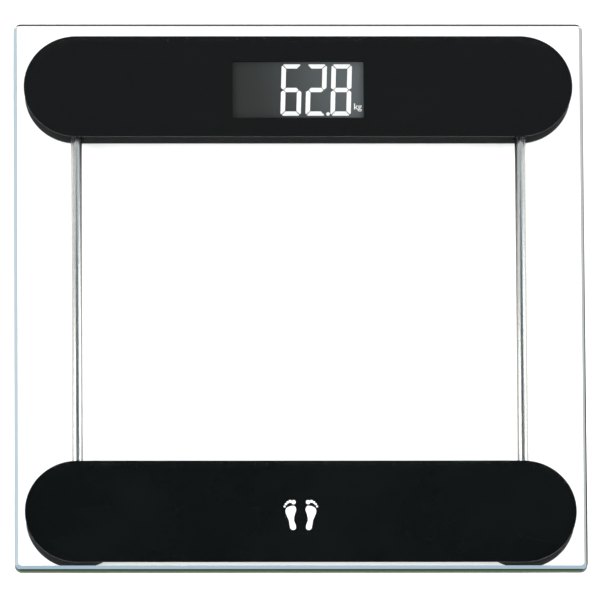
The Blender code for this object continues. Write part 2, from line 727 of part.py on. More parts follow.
def battery_door(finish):
    """Flap under the batteries. Its origin is on the hinge line, inside its round front edge."""
    hinge_y = FOOT_Y - DOOR_WIDTH / 2 + HINGE_RADIUS
    back_edge = DOOR_WIDTH - HINGE_RADIUS
    section = arc((0, 0), HINGE_RADIUS, 90, 270, 8)
    section += [(back_edge, -HINGE_RADIUS), (back_edge, HINGE_RADIUS)]
    flap = piece(
        "battery_door",
        finish,
        lambda bm: along_x(bm, section, -DOOR_LENGTH / 2, DOOR_LENGTH / 2),
        (BAY_X, hinge_y, COVER_TOP - HINGE_RADIUS),
    )
    tab_front = -HINGE_RADIUS - DOOR_TAB_REACH
    tab_bottom = HINGE_RADIUS + GAP

    def tabs(bm):
        """Two hooks that stand on the flap and reach forward over the cover's edge."""
        sunk = HINGE_RADIUS - GAP
        outline = [(tab_front, tab_bottom), (0, tab_bottom), (0, sunk), (DOOR_TAB_FOOT, sunk)]
        outline += [(DOOR_TAB_FOOT, TAB_TOP), (tab_front, TAB_TOP)]
        for x in (-DOOR_LENGTH / 4, DOOR_LENGTH / 4):
            along_x(bm, outline, x - DOOR_TAB_WIDTH / 2, x + DOOR_TAB_WIDTH / 2)

    add(flap, "door_tabs", tabs)

    def slits(bm):
        """Two slits that free the springy latch tongue in the flap's back edge."""
        for x in (-LATCH_WIDTH / 2, LATCH_WIDTH / 2):
            low = (x - LATCH_SLIT / 2, back_edge - LATCH_LENGTH, -HINGE_RADIUS - CUT_PAST)
            box(bm, low, (x + LATCH_SLIT / 2, back_edge + CUT_PAST, HINGE_RADIUS + CUT_PAST))

    cut(flap, "latch_slits", slits)


def batteries(finish):
    """Two AAA cells side by side, facing opposite ways."""
    radius = BATTERY_DIAMETER / 2
    can = BATTERY_LENGTH - BATTERY_NIPPLE_LENGTH
    profile = [
        (0, 0),
        (radius * 0.85, 0),
        (radius, BATTERY_EDGE),
        (radius, can - BATTERY_EDGE),
        (radius * 0.85, can),
        (BATTERY_NIPPLE_RADIUS, can),
        (BATTERY_NIPPLE_RADIUS, BATTERY_LENGTH),
        (0, BATTERY_LENGTH),
    ]
    for name, side in (("battery_back", 1), ("battery_front", -1)):
        y = FOOT_Y + side * BATTERY_Y
        at = (BAY_X - side * BATTERY_LENGTH / 2, y, BATTERY_HEIGHT)
        cell = piece(name, finish, lambda bm: turned(bm, profile, 24), at)
        cell.rotation_euler = (0, side * math.pi / 2, 0)


def contacts(finish):
    """Battery contacts at both ends of the bay: plates, with a spring for each flat battery end."""
    half = BAY_LENGTH / 2 - GAP
    low, high = COVER_TOP + 2 * GAP, PLATE_BOTTOM - 2 * GAP
    reach = BAY_WIDTH / 2 - GAP
    plates = {
        "contact_bridge": (-1, -reach, reach, 1),
        "contact_positive": (1, GAP, reach, 0),
        "contact_negative": (1, -reach, -GAP, -1),
    }
    for name, (end, front, back, spring_side) in plates.items():

        def plate(bm, end=end, front=front, back=back):
            span = sorted((end * half, end * (half - CONTACT_THICKNESS)))
            box(bm, (BAY_X + span[0], front, low), (BAY_X + span[1], back, high))

        strip = piece(name, finish, plate, (0, FOOT_Y, 0))
        if not spring_side:
            continue

        def coil(bm, end=end, side=spring_side):
            root = BAY_X + end * (half - CONTACT_THICKNESS / 2)
            length = BAY_END_ROOM - 2 * GAP - CONTACT_THICKNESS / 2 - SPRING_WIRE
            centre = Vector((root, side * BATTERY_Y, BATTERY_HEIGHT))
            steps = 24
            points = []
            for i in range(steps + 1):
                part = i / steps
                turn = math.tau * SPRING_TURNS * part
                radius = SPRING_WIDE + (SPRING_NARROW - SPRING_WIDE) * part
                round_it = Vector((0, radius * math.cos(turn), radius * math.sin(turn)))
                points.append(centre + round_it - Vector((end * length * part, 0, 0)))
            sweep(bm, points, SPRING_WIRE)

        add(strip, name + "_coil", coil)


def screw(name, finish, x, y, seat, radius, length, head_radius, head_height):
    """A pan-head screw driven upwards; seat is the height of the underside that its head bears on."""
    bottom = seat - head_height
    profile = [
        (0, bottom),
        (head_radius * 0.7, bottom),
        (head_radius, bottom + 0.45 * head_height),
        (head_radius, seat),
        (radius, seat),
        (radius, seat + length - radius),
        (0, seat + length),
    ]
    pin = piece(name, finish, lambda bm: turned(bm, profile, 12), (x, y, 0))

    def cross(bm):
        half, reach = RECESS_WIDTH / 2, head_radius * 0.62
        outline = [(reach, half), (half, half), (half, reach), (-half, reach), (-half, half)]
        outline += [(-reach, half), (-reach, -half), (-half, -half), (-half, -reach)]
        outline += [(half, -reach), (half, -half), (reach, -half)]
        prism(bm, outline, bottom - CUT_PAST, bottom + RECESS_DEPTH)

    cut(pin, name + "_recess", cross)


def screws(finish):
    for number, (x, y) in enumerate(COVER_SCREWS, 1):
        seat = GROUND_CLEARANCE + SCREW_SEAT - GAP
        screw(f"cover_screw_{number}", finish, x, y, seat, SCREW_RADIUS, SCREW_LENGTH,
              SCREW_HEAD_RADIUS, SCREW_HEAD_HEIGHT)
    for number, (x, y) in enumerate(BOARD_SCREWS, 1):
        screw(f"board_screw_{number}", finish, x, y, BOARD_BOTTOM - GAP, BOARD_SCREW_RADIUS,
              BOARD_SCREW_LENGTH, BOARD_HEAD_RADIUS, BOARD_HEAD_HEIGHT)


def smooth_route(corners, steps=3):
    """Points on a smooth curve through the corners that never swings past one of them."""
    ends = [2 * corners[0] - corners[1]] + corners + [2 * corners[-1] - corners[-2]]
    points = []
    for a, b, c, d in zip(ends, ends[1:], ends[2:], ends[3:]):
        before, span, after = [(q - p).length ** 0.5 for p, q in ((a, b), (b, c), (c, d))]
        leave = span * ((b - a) / before - (c - a) / (before + span)) + (c - b)
        arrive = span * ((d - c) / after - (d - b) / (span + after)) + (c - b)
        for i in range(steps):
            t = i / steps
            points.append(
                b * (2 * t**3 - 3 * t**2 + 1) + leave * (t**3 - 2 * t**2 + t)
                + c * (3 * t**2 - 2 * t**3) + arrive * (t**3 - t**2)
            )
    return points + [corners[-1]]


def wire(name, finish, radius, corners):
    curve = bpy.data.curves.new(name, "CURVE")
    curve.dimensions = "3D"
    curve.bevel_depth = radius
    curve.bevel_resolution = 2
    curve.use_fill_caps = True
    points = smooth_route([Vector(corner) for corner in corners])
    spline = curve.splines.new("POLY")
    spline.points.add(len(points) - 1)
    for point, place_at in zip(spline.points, points):
        point.co = (*place_at, 1.0)
    place(name, curve, finish)


def harnesses(finish):
    """Sensor wires: the front pair runs through the tubes, the back pair only inside the pod."""
    over_cell = CELL_TOP + WIRE_LIFT
    edge = BOARD_BOTTOM + BOARD_THICKNESS / 2
    lane = FOOT_Y - LANE_Y
    for side, sign in (("left", -1), ("right", 1)):
        x = sign * FOOT_X
        inward = -sign * MM
        board_end = (BOARD_LEFT if sign < 0 else BOARD_RIGHT) + sign * WIRE_END_ROOM
        past_post = sign * (OUTER_POST_X + POST_RADIUS)
        front = [
            (x + 7 * inward, -FOOT_Y + 12 * MM, over_cell),
            (x + 2 * inward, -FOOT_Y + 18 * MM, (over_cell + TUBE_HEIGHT) / 2),
        ]
        steps = 6
        front += [(x, TUBE_END * (2 * i / steps - 1), TUBE_HEIGHT) for i in range(steps + 1)]
        front += [
            (x + 3 * inward, TUBE_END + 5 * MM, TUBE_HEIGHT),
            (x + 14 * inward, lane, TUBE_HEIGHT),
            (past_post, lane, TUBE_HEIGHT),
            (board_end - 6 * inward, lane, (TUBE_HEIGHT + edge) / 2),
            (board_end, lane, edge),
        ]
        wire(f"harness_front_{side}", finish, FRONT_WIRE_RADIUS, front)
        lane_back = FOOT_Y + LANE_Y
        back = [
            (x + 8 * inward, FOOT_Y + 4 * MM, over_cell),
            (x + 14 * inward, FOOT_Y + 10 * MM, over_cell),
            (past_post, lane_back, over_cell),
            (board_end - 6 * inward, lane_back, edge),
            (board_end, lane_back, edge),
        ]
        wire(f"harness_back_{side}", finish, BACK_WIRE_RADIUS, back)


def main():
    clear_scene()
    finishes = {
        "glass": material("clear_glass", (0.86, 0.95, 0.93), 0.03, transmission=1.0),
        "film": material("black_film", (0.013, 0.014, 0.014), 0.25),
        "dark_plastic": material("dark_plastic", (0.022, 0.023, 0.026), 0.45),
        "rubber": material("grey_rubber", (0.06, 0.06, 0.065), 0.8),
        "steel": material("bright_steel", (0.62, 0.62, 0.61), 0.28, metallic=1.0),
        "lcd": material("display_glass", (0.06, 0.065, 0.07), 0.12),
        "milky_plastic": material("milky_plastic", (0.75, 0.76, 0.76), 0.5),
        "board": material("board_green", (0.02, 0.16, 0.06), 0.5),
        "battery": material("battery_sleeve", (0.11, 0.12, 0.14), 0.35, metallic=0.3),
        "wire": material("wire_sleeve", (0.12, 0.12, 0.13), 0.6),
    }
    glass_platform(finishes["glass"])
    films(finishes["film"])
    back_housing(finishes["dark_plastic"])
    base_cover(finishes["dark_plastic"])
    for side in ("left", "right"):
        front_housing(side, finishes["dark_plastic"])
        snap_ring(side, finishes["dark_plastic"])
        tube(side, finishes)
    for name in FEET:
        foot(name, finishes)
    display(finishes)
    circuit(finishes)
    unit_button(finishes["dark_plastic"])
    battery_door(finishes["dark_plastic"])
    batteries(finishes["battery"])
    contacts(finishes["steel"])
    screws(finishes["steel"])
    harnesses(finishes["wire"])


main()
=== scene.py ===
import math

import bmesh
import bpy
from mathutils import Matrix, Vector


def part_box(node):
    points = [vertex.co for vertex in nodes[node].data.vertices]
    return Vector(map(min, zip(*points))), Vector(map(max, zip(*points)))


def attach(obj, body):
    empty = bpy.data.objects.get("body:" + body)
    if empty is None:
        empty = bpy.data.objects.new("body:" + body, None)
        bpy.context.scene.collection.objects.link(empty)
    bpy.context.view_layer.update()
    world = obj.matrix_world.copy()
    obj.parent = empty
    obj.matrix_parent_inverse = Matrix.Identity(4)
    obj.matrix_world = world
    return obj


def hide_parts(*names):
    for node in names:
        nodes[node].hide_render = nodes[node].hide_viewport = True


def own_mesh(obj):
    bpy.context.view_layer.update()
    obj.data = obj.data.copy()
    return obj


# Digital bathroom scale: clear glass platform, black display pod, two front foot drums, steel tubes.
# Lengths are metres; every place comes from the frame's own boxes.

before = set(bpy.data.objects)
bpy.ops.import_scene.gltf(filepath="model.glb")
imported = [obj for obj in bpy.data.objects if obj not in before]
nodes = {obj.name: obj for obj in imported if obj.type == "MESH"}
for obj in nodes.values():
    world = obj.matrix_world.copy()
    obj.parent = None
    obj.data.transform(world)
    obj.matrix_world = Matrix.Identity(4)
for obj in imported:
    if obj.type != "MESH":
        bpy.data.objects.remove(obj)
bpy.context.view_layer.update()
mm = 0.001
print("frame loaded:", len(nodes), "nodes")


# Shader helpers

class Wire:  # an output socket; sums on it add Math nodes
    def __init__(self, maker, output):
        self.maker = maker
        self.output = output

    def maths(self, operation, first, second):
        return self.maker.node("ShaderNodeMath", {"operation": operation}, {0: first, 1: second})

    def __add__(self, other):
        return self.maths("ADD", self, other)

    def __sub__(self, other):
        return self.maths("SUBTRACT", self, other)

    def __rsub__(self, other):
        return self.maths("SUBTRACT", other, self)

    def __mul__(self, other):
        return self.maths("MULTIPLY", self, other)

    def __truediv__(self, other):
        return self.maths("DIVIDE", self, other)

    __radd__ = __add__
    __rmul__ = __mul__


class NodeMaker:  # adds nodes to one tree
    prefix = ""

    def node(self, kind, settings=None, sockets=None, out=0):
        made = self.tree.nodes.new(kind if "Node" in kind else self.prefix + kind)
        for key, value in (settings or {}).items():
            if key == "stops":
                fillRamp(made.color_ramp, value)
            else:
                setattr(made, key, value)
        for key, value in (sockets or {}).items():
            if isinstance(value, Wire):
                self.tree.links.new(value.output, made.inputs[key])
            else:
                made.inputs[key].default_value = value
        return Wire(self, made.outputs[out])


class Finish(NodeMaker):  # a Principled material under construction
    prefix = "ShaderNode"

    def __init__(self, name, **uniform):
        self.material = bpy.data.materials.new(name)
        self.material.use_nodes = True
        self.tree = self.material.node_tree
        self.shader = self.tree.nodes["Principled BSDF"]
        for socket, value in uniform.items():
            self.shader.inputs[spaced(socket)].default_value = value

    def feed(self, socket, wire):
        self.tree.links.new(wire.output, self.shader.inputs[socket])

    def place(self, centre=(0, 0, 0), stretch=(1, 1, 1)):  # object coordinates from a centre, stretched
        coordinates = self.node("TexCoord", out=3)
        moved = self.node("VectorMath", {"operation": "SUBTRACT"}, {0: coordinates, 1: centre})
        return self.node("Mapping", {}, {"Vector": moved, "Scale": stretch})

    def axis(self, vector, index):
        return self.node("SeparateXYZ", {}, {0: vector}, out=index)

    def noise(self, vector, scale, detail=2.0, roughness=0.5):
        values = {"Vector": vector, "Scale": scale, "Detail": detail, "Roughness": roughness}
        return self.node("TexNoise", {}, values)

    def cells(self, vector, scale):
        return self.node("TexVoronoi", {}, {"Vector": vector, "Scale": scale})

    def fade(self, value, start, end, low=0.0, high=1.0):  # smooth step from low to high
        settings = {"interpolation_type": "SMOOTHSTEP"}
        return self.node("MapRange", settings, {0: value, 1: start, 2: end, 3: low, 4: high})

    def blend(self, mask, first, second):
        return self.node("Mix", {"data_type": "RGBA"}, {0: mask, 6: first, 7: second}, out=2)

    def bump(self, height, strength, distance, base=None):
        sockets = {"Height": height, "Strength": strength, "Distance": distance}
        if base:
            sockets["Normal"] = base
        return self.node("Bump", {}, sockets)


class Growth(NodeMaker):  # a Geometry Nodes tree under construction, with named sizes
    prefix = "GeometryNode"

    def __init__(self, name, sizes):
        self.tree = bpy.data.node_groups.new(name, "GeometryNodeTree")
        self.tree.interface.new_socket("Geometry", in_out="INPUT", socket_type="NodeSocketGeometry")
        self.sockets = {}
        for size in sizes:
            made = self.tree.interface.new_socket(size, in_out="INPUT", socket_type="NodeSocketFloat")
            self.sockets[size] = made.identifier
        self.tree.interface.new_socket("Geometry", in_out="OUTPUT", socket_type="NodeSocketGeometry")
        self.entry = self.tree.nodes.new("NodeGroupInput")

    def size(self, name):
        return Wire(self, self.entry.outputs[name])

    def vector(self, x, y, z):
        return self.node("ShaderNodeCombineXYZ", {}, {0: x, 1: y, 2: z})

    def shift(self, geometry, x=0.0, y=0.0, z=0.0, turn=(0.0, 0.0, 0.0)):
        moves = {"Geometry": geometry, "Translation": self.vector(x, y, z), "Rotation": turn}
        return self.node("Transform", {}, moves)

    def join(self, *shapes):
        joined = self.tree.nodes.new("GeometryNodeJoinGeometry")
        for shape in shapes:
            self.tree.links.new(shape.output, joined.inputs[0])
        return Wire(self, joined.outputs[0])

    def spread(self, shape, turn=None, scale=None):  # one copy on every point, made real, in its finish
        sockets = {"Points": self.size("Geometry"), "Instance": shape}
        if turn:
            sockets["Rotation"] = turn
        if scale:
            sockets["Scale"] = scale
        placed = self.node("InstanceOnPoints", {}, sockets)
        real = self.node("RealizeInstances", {}, {0: placed})
        finish = self.node("SetMaterial", {}, {"Geometry": real, "Material": self.finish})
        last = self.tree.nodes.new("NodeGroupOutput")
        self.tree.links.new(finish.output, last.inputs[0])


def grow(name, growth, sizes, points):  # runs a tree on points and keeps the result as a plain mesh
    mesh = bpy.data.meshes.new(name)
    mesh.from_pydata([tuple(p) for p in points], [], [])
    piece = bpy.data.objects.new(name, mesh)
    bpy.context.scene.collection.objects.link(piece)
    step = piece.modifiers.new("growth", "NODES")
    step.node_group = growth.tree
    for size, value in sizes.items():
        step[growth.sockets[size]] = value
    settle(piece)
    piece.data.shade_smooth()
    piece.data.set_sharp_from_angle(angle=math.radians(35))
    return piece


def spaced(socket):  # baseColor -> Base Color, specularIorLevel -> Specular IOR Level
    words = "".join(" " + c if c.isupper() else c for c in socket).split()
    return " ".join("IOR" if w.lower() == "ior" else w.capitalize() for w in words)


def fillRamp(ramp, stops):
    while len(ramp.elements) < len(stops):
        ramp.elements.new(0.5)
    for element, (position, colour) in zip(ramp.elements, stops):
        element.position = position
        element.color = tone(colour)


def tone(colour):  # a grey number or an rgb triple as rgba
    if isinstance(colour, (int, float)):
        colour = (colour, colour, colour)
    return (*colour, 1.0)


# Mesh helpers

def arcPoints(centre, radius, start, end, steps):
    turns = [math.radians(start + (end - start) * i / steps) for i in range(steps + 1)]
    return [(centre[0] + radius * math.cos(t), centre[1] + radius * math.sin(t)) for t in turns]


def circlePoints(radius, steps=96, centre=(0.0, 0.0)):
    return arcPoints(centre, radius, 0, 360 * (steps - 1) / steps, steps - 1)


def stadiumPoints(half, radius, steps=64, centre=(0.0, 0.0)):
    x, y = centre
    right = arcPoints((x + half, y), radius, -90, 90, steps)
    return right + arcPoints((x - half, y), radius, 90, 270, steps)


def slabPoints(width, depth, corner, steps=10, centre=(0.0, 0.0)):
    x, y = width / 2 - corner, depth / 2 - corner
    points = []
    for cx, cy, start in ((x, y, 0), (-x, y, 90), (-x, -y, 180), (x, -y, 270)):
        points += arcPoints((centre[0] + cx, centre[1] + cy), corner, start, start + 90, steps)
    return points


def loftRings(bm, sections):  # closed solid through outlines of equal point count, each with its height
    rings = [[bm.verts.new((x, y, z)) for x, y in outline] for outline, z in sections]
    caps = [bm.faces.new(list(reversed(rings[0]))), bm.faces.new(rings[-1])]
    for low, high in zip(rings, rings[1:]):
        for i in range(len(low)):
            j = (i + 1) % len(low)
            bm.faces.new((low[i], low[j], high[j], high[i]))
    return caps


def prism(bm, outline, bottom, top):
    loftRings(bm, [(outline, bottom), (outline, top)])


def lathe(bm, profile, steps=96, centre=(0.0, 0.0)):  # profile of (radius, height)
    path = [bm.verts.new((centre[0] + r, centre[1], z)) for r, z in profile]
    edges = [bm.edges.new(pair) for pair in zip(path, path[1:])]
    bmesh.ops.spin(bm, geom=edges, cent=(*centre, 0.0), axis=(0, 0, 1), angle=math.tau, steps=steps)
    bmesh.ops.remove_doubles(bm, verts=bm.verts, dist=1e-6)


def meshObject(name, build, sharp=35):
    bm = bmesh.new()
    build(bm)
    bmesh.ops.recalc_face_normals(bm, faces=bm.faces)
    mesh = bpy.data.meshes.new(name)
    bm.to_mesh(mesh)
    bm.free()
    mesh.shade_smooth()
    mesh.set_sharp_from_angle(angle=math.radians(sharp))
    made = bpy.data.objects.new(name, mesh)
    bpy.context.scene.collection.objects.link(made)
    return made


def settle(piece):  # turns the evaluated shape into a plain mesh with no modifiers
    graph = bpy.context.evaluated_depsgraph_get()
    graph.update()
    mesh = bpy.data.meshes.new_from_object(piece.evaluated_get(graph))
    piece.modifiers.clear()
    piece.data = mesh
    return piece


def carve(piece, build, operation="DIFFERENCE", sharp=35):
    guide = meshObject(piece.name + "_guide", build)
    step = piece.modifiers.new("carve", "BOOLEAN")
    step.operation = operation
    step.object = guide
    settle(piece)
    bpy.data.objects.remove(guide, do_unlink=True)
    piece.data.shade_smooth()
    piece.data.set_sharp_from_angle(angle=math.radians(sharp))
    return piece


def mount(piece, finish, body="platform", replaced=()):
    piece.data.materials.clear()
    piece.data.materials.append(finish)
    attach(piece, body)
    if replaced:
        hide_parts(*replaced)
    return piece


def middle(node):
    low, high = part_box(node)
    return (low + high) / 2


def span(node):
    low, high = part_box(node)
    return high - low


# Finishes

glassShape = {"corner": 4.0 * mm, "bevel": 1.85 * mm, "bevelDrop": 1.5 * mm, "arris": 0.5 * mm,
              "soften": 0.35 * mm}


def glassFinish():
    look = {"tint": (0.985, 1.0, 0.995), "streakTint": (0.97, 0.995, 0.99), "smudge": 0.012}
    glass = Finish("clearGlass", transmissionWeight=1.0, ior=1.52, roughness=0.0)
    wipe = glass.fade(glass.noise(glass.place(stretch=(1, 0.35, 1)), 18.0, 4.0), 0.5, 0.8)
    glass.feed("Base Color", glass.blend(wipe, tone(look["tint"]), tone(look["streakTint"])))
    glass.feed("Roughness", wipe * look["smudge"])
    return glass.material


def rimFinish():  # green ground wall, and along each side a polished bevel coloured with its own painted reflection tone, plus a painted dark reflection line along the right side
    look = {"deep": (0.010, 0.027, 0.005), "pale": (0.021, 0.046, 0.012), "blur": 0.1 * mm, "line": 0.75 * mm}
    paintedReflectionBands = [  # side, start and end distance in from that side, painted reflection tone
        ("left", 0.0, 2.5 * mm, (0.30, 0.355, 0.39)),
        ("right", 0.0, 2.5 * mm, (0.29, 0.305, 0.30)),
        ("back", 1.4 * mm, 2.5 * mm, (0.56, 0.57, 0.57)),
        ("back", 0.0, 1.4 * mm, (0.016, 0.018, 0.018)),
        ("front", 0.4 * mm, 2.5 * mm, (0.215, 0.285, 0.345)),
        ("front", 0.0, 0.4 * mm, (0.013, 0.034, 0.008)),
    ]
    rim = Finish("glassRim", roughness=0.16, specularIorLevel=0.01)
    low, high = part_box("glass_platform")
    at = rim.place((low + high) / 2)
    x, y, z = (rim.axis(at, i) for i in range(3))
    half, blur = (high.x - low.x) / 2, look["blur"]
    inward = {"left": half + x, "right": half - x, "back": half - y, "front": half + y}
    colour = tone(0.3)
    for side, start, end, shade in paintedReflectionBands:
        band = rim.fade(inward[side], end + blur, end - blur)
        if start:
            band = band * rim.fade(inward[side], start - blur, start + blur)
        colour = rim.blend(band, colour, tone(shade))
    nearSide = rim.fade(y, half * 1.1, -half * 0.8)  # the painted dark reflection line along the right side darkens towards the front
    line = rim.blend(nearSide, tone(0.26), tone((0.012, 0.016, 0.015)))
    edge = rim.fade(inward["right"], look["line"] + blur, look["line"] - blur)
    colour = rim.blend(edge, colour, line)
    streaks = rim.noise(rim.place(stretch=(1, 1, 14)), 60.0, 3.0)
    wall = rim.blend(streaks, tone(look["deep"]), tone(look["pale"]))
    foot = (high.z - low.z) / 2 - glassShape["bevelDrop"] - glassShape["soften"]
    rim.feed("Base Color", rim.blend(rim.fade(z, foot, foot + 0.2 * mm), wall, colour))
    rim.feed("Normal", rim.bump(rim.noise(rim.place(), 900.0, 2.0), 0.1, 0.02 * mm))
    return rim.material


def printFinish():
    look = {"front": (0.0018, 0.0026, 0.0029), "back": (0.0050, 0.0057, 0.0060),
            "cloud": (0.0060, 0.0074, 0.0068)}
    ink = Finish("blackPrint", roughness=0.2, specularIorLevel=0.1)
    at = ink.place()
    # painted light and shade: the back pod's print is set lighter and the front's darker, though both are the
    # same black ink
    back = ink.fade(ink.axis(at, 1), -0.1, 0.1)
    base = ink.blend(back, tone(look["front"]), tone(look["back"]))
    clouds = ink.fade(ink.noise(at, 26.0, 5.0), 0.35, 0.75)
    base = ink.blend(clouds * 0.3, base, tone(look["cloud"]))
    ink.feed("Base Color", base)
    ink.feed("Roughness", 0.16 + ink.noise(at, 140.0, 3.0) * 0.1)
    ink.feed("Normal", ink.bump(ink.noise(at, 2600.0, 1.0), 0.12, 0.01 * mm))
    return ink.material


def plasticFinish(name, colour, roughness=0.42, grain=1500.0, shine=0.45):
    plastic = Finish(name, roughness=roughness, specularIorLevel=shine)
    at = plastic.place()
    tint = plastic.noise(at, 34.0, 4.0)
    lighter = tuple(c * 1.35 for c in colour)
    plastic.feed("Base Color", plastic.blend(tint, tone(colour), tone(lighter)))
    pebble = plastic.cells(at, grain)
    plastic.feed("Roughness", roughness - 0.05 + plastic.noise(at, 210.0, 3.0) * 0.14)
    plastic.feed("Normal", plastic.bump(pebble, 0.22, 0.02 * mm))
    return plastic.material


def rubberFinish(name, colour, roughness=0.72, shine=0.3):
    rubber = Finish(name, roughness=roughness, specularIorLevel=shine)
    at = rubber.place()
    dust = rubber.fade(rubber.noise(at, 120.0, 5.0), 0.45, 0.75)
    rubber.feed("Base Color", rubber.blend(dust, tone(colour), tone(tuple(c * 1.8 for c in colour))))
    rubber.feed("Roughness", 0.66 + dust * 0.2)
    rubber.feed("Normal", rubber.bump(rubber.noise(at, 1900.0, 2.0), 0.25, 0.03 * mm))
    return rubber.material


def tubeFinish(side):  # drawn stainless tube with painted reflections: painted pale highlights on the flanks, a painted blue-grey reflection on the crown, a painted dark reflection line on its inner flank
    look = {"flank": (0.45, 0.443, 0.42), "crown": [(0.42, 0.46, 0.49), (0.13, 0.14, 0.145)],
            "edge": [(0.07, 0.07, 0.065), (0.26, 0.26, 0.255)], "soft": 0.09}
    steel = Finish(f"brushedSteel_{side}", metallic=1.0, roughness=0.26)
    node = f"bridge_tube_{side}"
    at = steel.place(middle(node))
    across = steel.axis(at, 0) / (span(node).x / 2)  # -1 at the left flank, 1 at the right
    inner = across if side == "left" else 0 - across
    nearFront = steel.fade(steel.axis(at, 1), 0.08, -0.08)
    soft = look["soft"]
    # the painted reflections change along the tube: the crown darkens towards the front, and the dark
    # inner-flank line fades towards the front
    crown = steel.blend(nearFront, tone(look["crown"][0]), tone(look["crown"][1]))
    edge = steel.blend(nearFront, tone(look["edge"][0]), tone(look["edge"][1]))
    onCrownReflection = steel.fade(across, -0.24 - soft, -0.24 + soft) * steel.fade(across, 0.42 + soft, 0.42 - soft)
    colour = steel.blend(onCrownReflection, tone(look["flank"]), crown)
    colour = steel.blend(steel.fade(inner, 0.74 - soft, 0.74 + soft), colour, edge)
    drawn = steel.noise(steel.place(stretch=(1, 0.012, 1)), 2600.0, 3.0)
    steel.feed("Base Color", steel.blend(drawn * 0.2, colour, tone(0.4)))
    steel.feed("Roughness", 0.2 + drawn * 0.14)
    steel.feed("Normal", steel.bump(drawn, 0.15, 0.01 * mm))
    return steel.material


def plateFinish(name, colour, roughness=0.32):  # zinc or nickel on stamped steel
    plate = Finish(name, metallic=1.0, roughness=roughness)
    at = plate.place()
    spangle = plate.cells(at, 420.0)
    wear = plate.noise(at, 90.0, 5.0)
    darker = tuple(c * 0.72 for c in colour)
    plate.feed("Base Color", plate.blend(wear * 0.7 + spangle * 0.2, tone(colour), tone(darker)))
    plate.feed("Roughness", roughness - 0.07 + wear * 0.2)
    plate.feed("Normal", plate.bump(plate.noise(at, 1400.0, 2.0), 0.12, 0.02 * mm))
    return plate.material


labelShape = {"width": 58.0 * mm, "depth": 24.0 * mm, "corner": 2.0 * mm, "x": 8.0 * mm, "thick": 0.12 * mm,
              "border": 1.5 * mm}


def labelFinish():  # blank silver foil with a printed border
    foil = Finish("labelFoil", metallic=0.75, roughness=0.42)
    at = foil.place((labelShape["x"], middle("back_base_cover").y, 0.0))
    half, halfDepth, border = labelShape["width"] / 2, labelShape["depth"] / 2, labelShape["border"]
    x = foil.node("Math", {"operation": "ABSOLUTE"}, {0: foil.axis(at, 0)})
    y = foil.node("Math", {"operation": "ABSOLUTE"}, {0: foil.axis(at, 1)})
    edge = foil.node("Math", {"operation": "MAXIMUM"}, {0: x - half, 1: y - halfDepth})
    outer = foil.fade(edge, -border, -border + 0.05 * mm)
    line = outer - foil.fade(edge, -border + 0.5 * mm, -border + 0.55 * mm)
    grain = foil.noise(foil.place(stretch=(1, 0.05, 1)), 900.0, 2.0)
    silver = foil.blend(grain, tone((0.55, 0.56, 0.57)), tone((0.44, 0.45, 0.46)))
    foil.feed("Base Color", foil.blend(line, silver, tone(0.02)))
    foil.feed("Roughness", 0.36 + grain * 0.14)
    return foil.material


def panelFinish():  # liquid crystal glass with painted shade, darker at its left end and lighter towards its right end
    look = {"left": (0.025, 0.0268, 0.0262), "right": (0.084, 0.095, 0.099)}
    panel = Finish("lcdGlass", roughness=0.12, specularIorLevel=0.5)
    low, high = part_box("lcd_panel")
    at = panel.place((low + high) / 2)
    width, depth = high.x - low.x, high.y - low.y
    across = panel.axis(at, 0) / width + 0.5
    along = panel.axis(at, 1) / depth
    # painted shade: the panel darkens towards its left end
    paintedShadeSlope = panel.fade(across + along * 0.10, 0.1, 1.1)
    weave = panel.noise(at, 900.0, 1.0) * 0.06
    panel.feed("Base Color", panel.blend(paintedShadeSlope + weave - 0.03, tone(look["left"]), tone(look["right"])))
    panel.feed("Roughness", 0.1 + panel.noise(at, 300.0, 2.0) * 0.08)
    return panel.material


def glowFinish(name, colour, strength):
    glow = Finish(name, roughness=0.4, emissionStrength=strength)
    soft = glow.noise(glow.place(), 700.0, 2.0)
    shade = glow.blend(soft, tone(colour), tone(tuple(c * 0.93 for c in colour)))
    glow.feed("Base Color", shade)
    glow.feed("Emission Color", shade)
    return glow.material


def inkMarkFinish():
    # printed white ink with a faint painted glow from its emission
    white = Finish("whiteInk", roughness=0.5, emissionStrength=0.12)
    at = white.place()
    shade = white.blend(white.noise(at, 1200.0, 2.0), tone(0.86), tone(0.74))
    white.feed("Base Color", shade)
    white.feed("Emission Color", shade)
    white.feed("Normal", white.bump(white.noise(at, 2400.0), 0.1, 0.01 * mm))
    return white.material


def boardFinish():
    look = {"mask": (0.008, 0.075, 0.028), "trace": (0.016, 0.13, 0.05), "pitch": 2.2 * mm}
    board = Finish("circuitBoard", roughness=0.34)
    at = board.place(middle("main_board"))
    lines = board.node("TexWave", {"bands_direction": "Y"}, {
        "Vector": at, "Scale": 1 / (2 * look["pitch"]) / 10, "Distortion": 9.0, "Detail": 1.0,
        "Detail Scale": 0.6})
    track = board.fade(lines, 0.62, 0.68)
    board.feed("Base Color", board.blend(track, tone(look["mask"]), tone(look["trace"])))
    board.feed("Roughness", 0.38 - track * 0.1)
    board.feed("Normal", board.bump(track, 0.5, 0.03 * mm))
    return board.material


def milkyFinish():
    milky = Finish("milkyPlastic", roughness=0.5)
    milky.shader.inputs["Subsurface Weight"].default_value = 0.3
    milky.shader.inputs["Subsurface Scale"].default_value = 1.5 * mm
    at = milky.place()
    dots = milky.cells(at, 800.0)
    milky.feed("Base Color", milky.blend(dots, tone((0.86, 0.87, 0.84)), tone((0.74, 0.76, 0.74))))
    milky.feed("Normal", milky.bump(dots, 0.2, 0.03 * mm))
    return milky.material


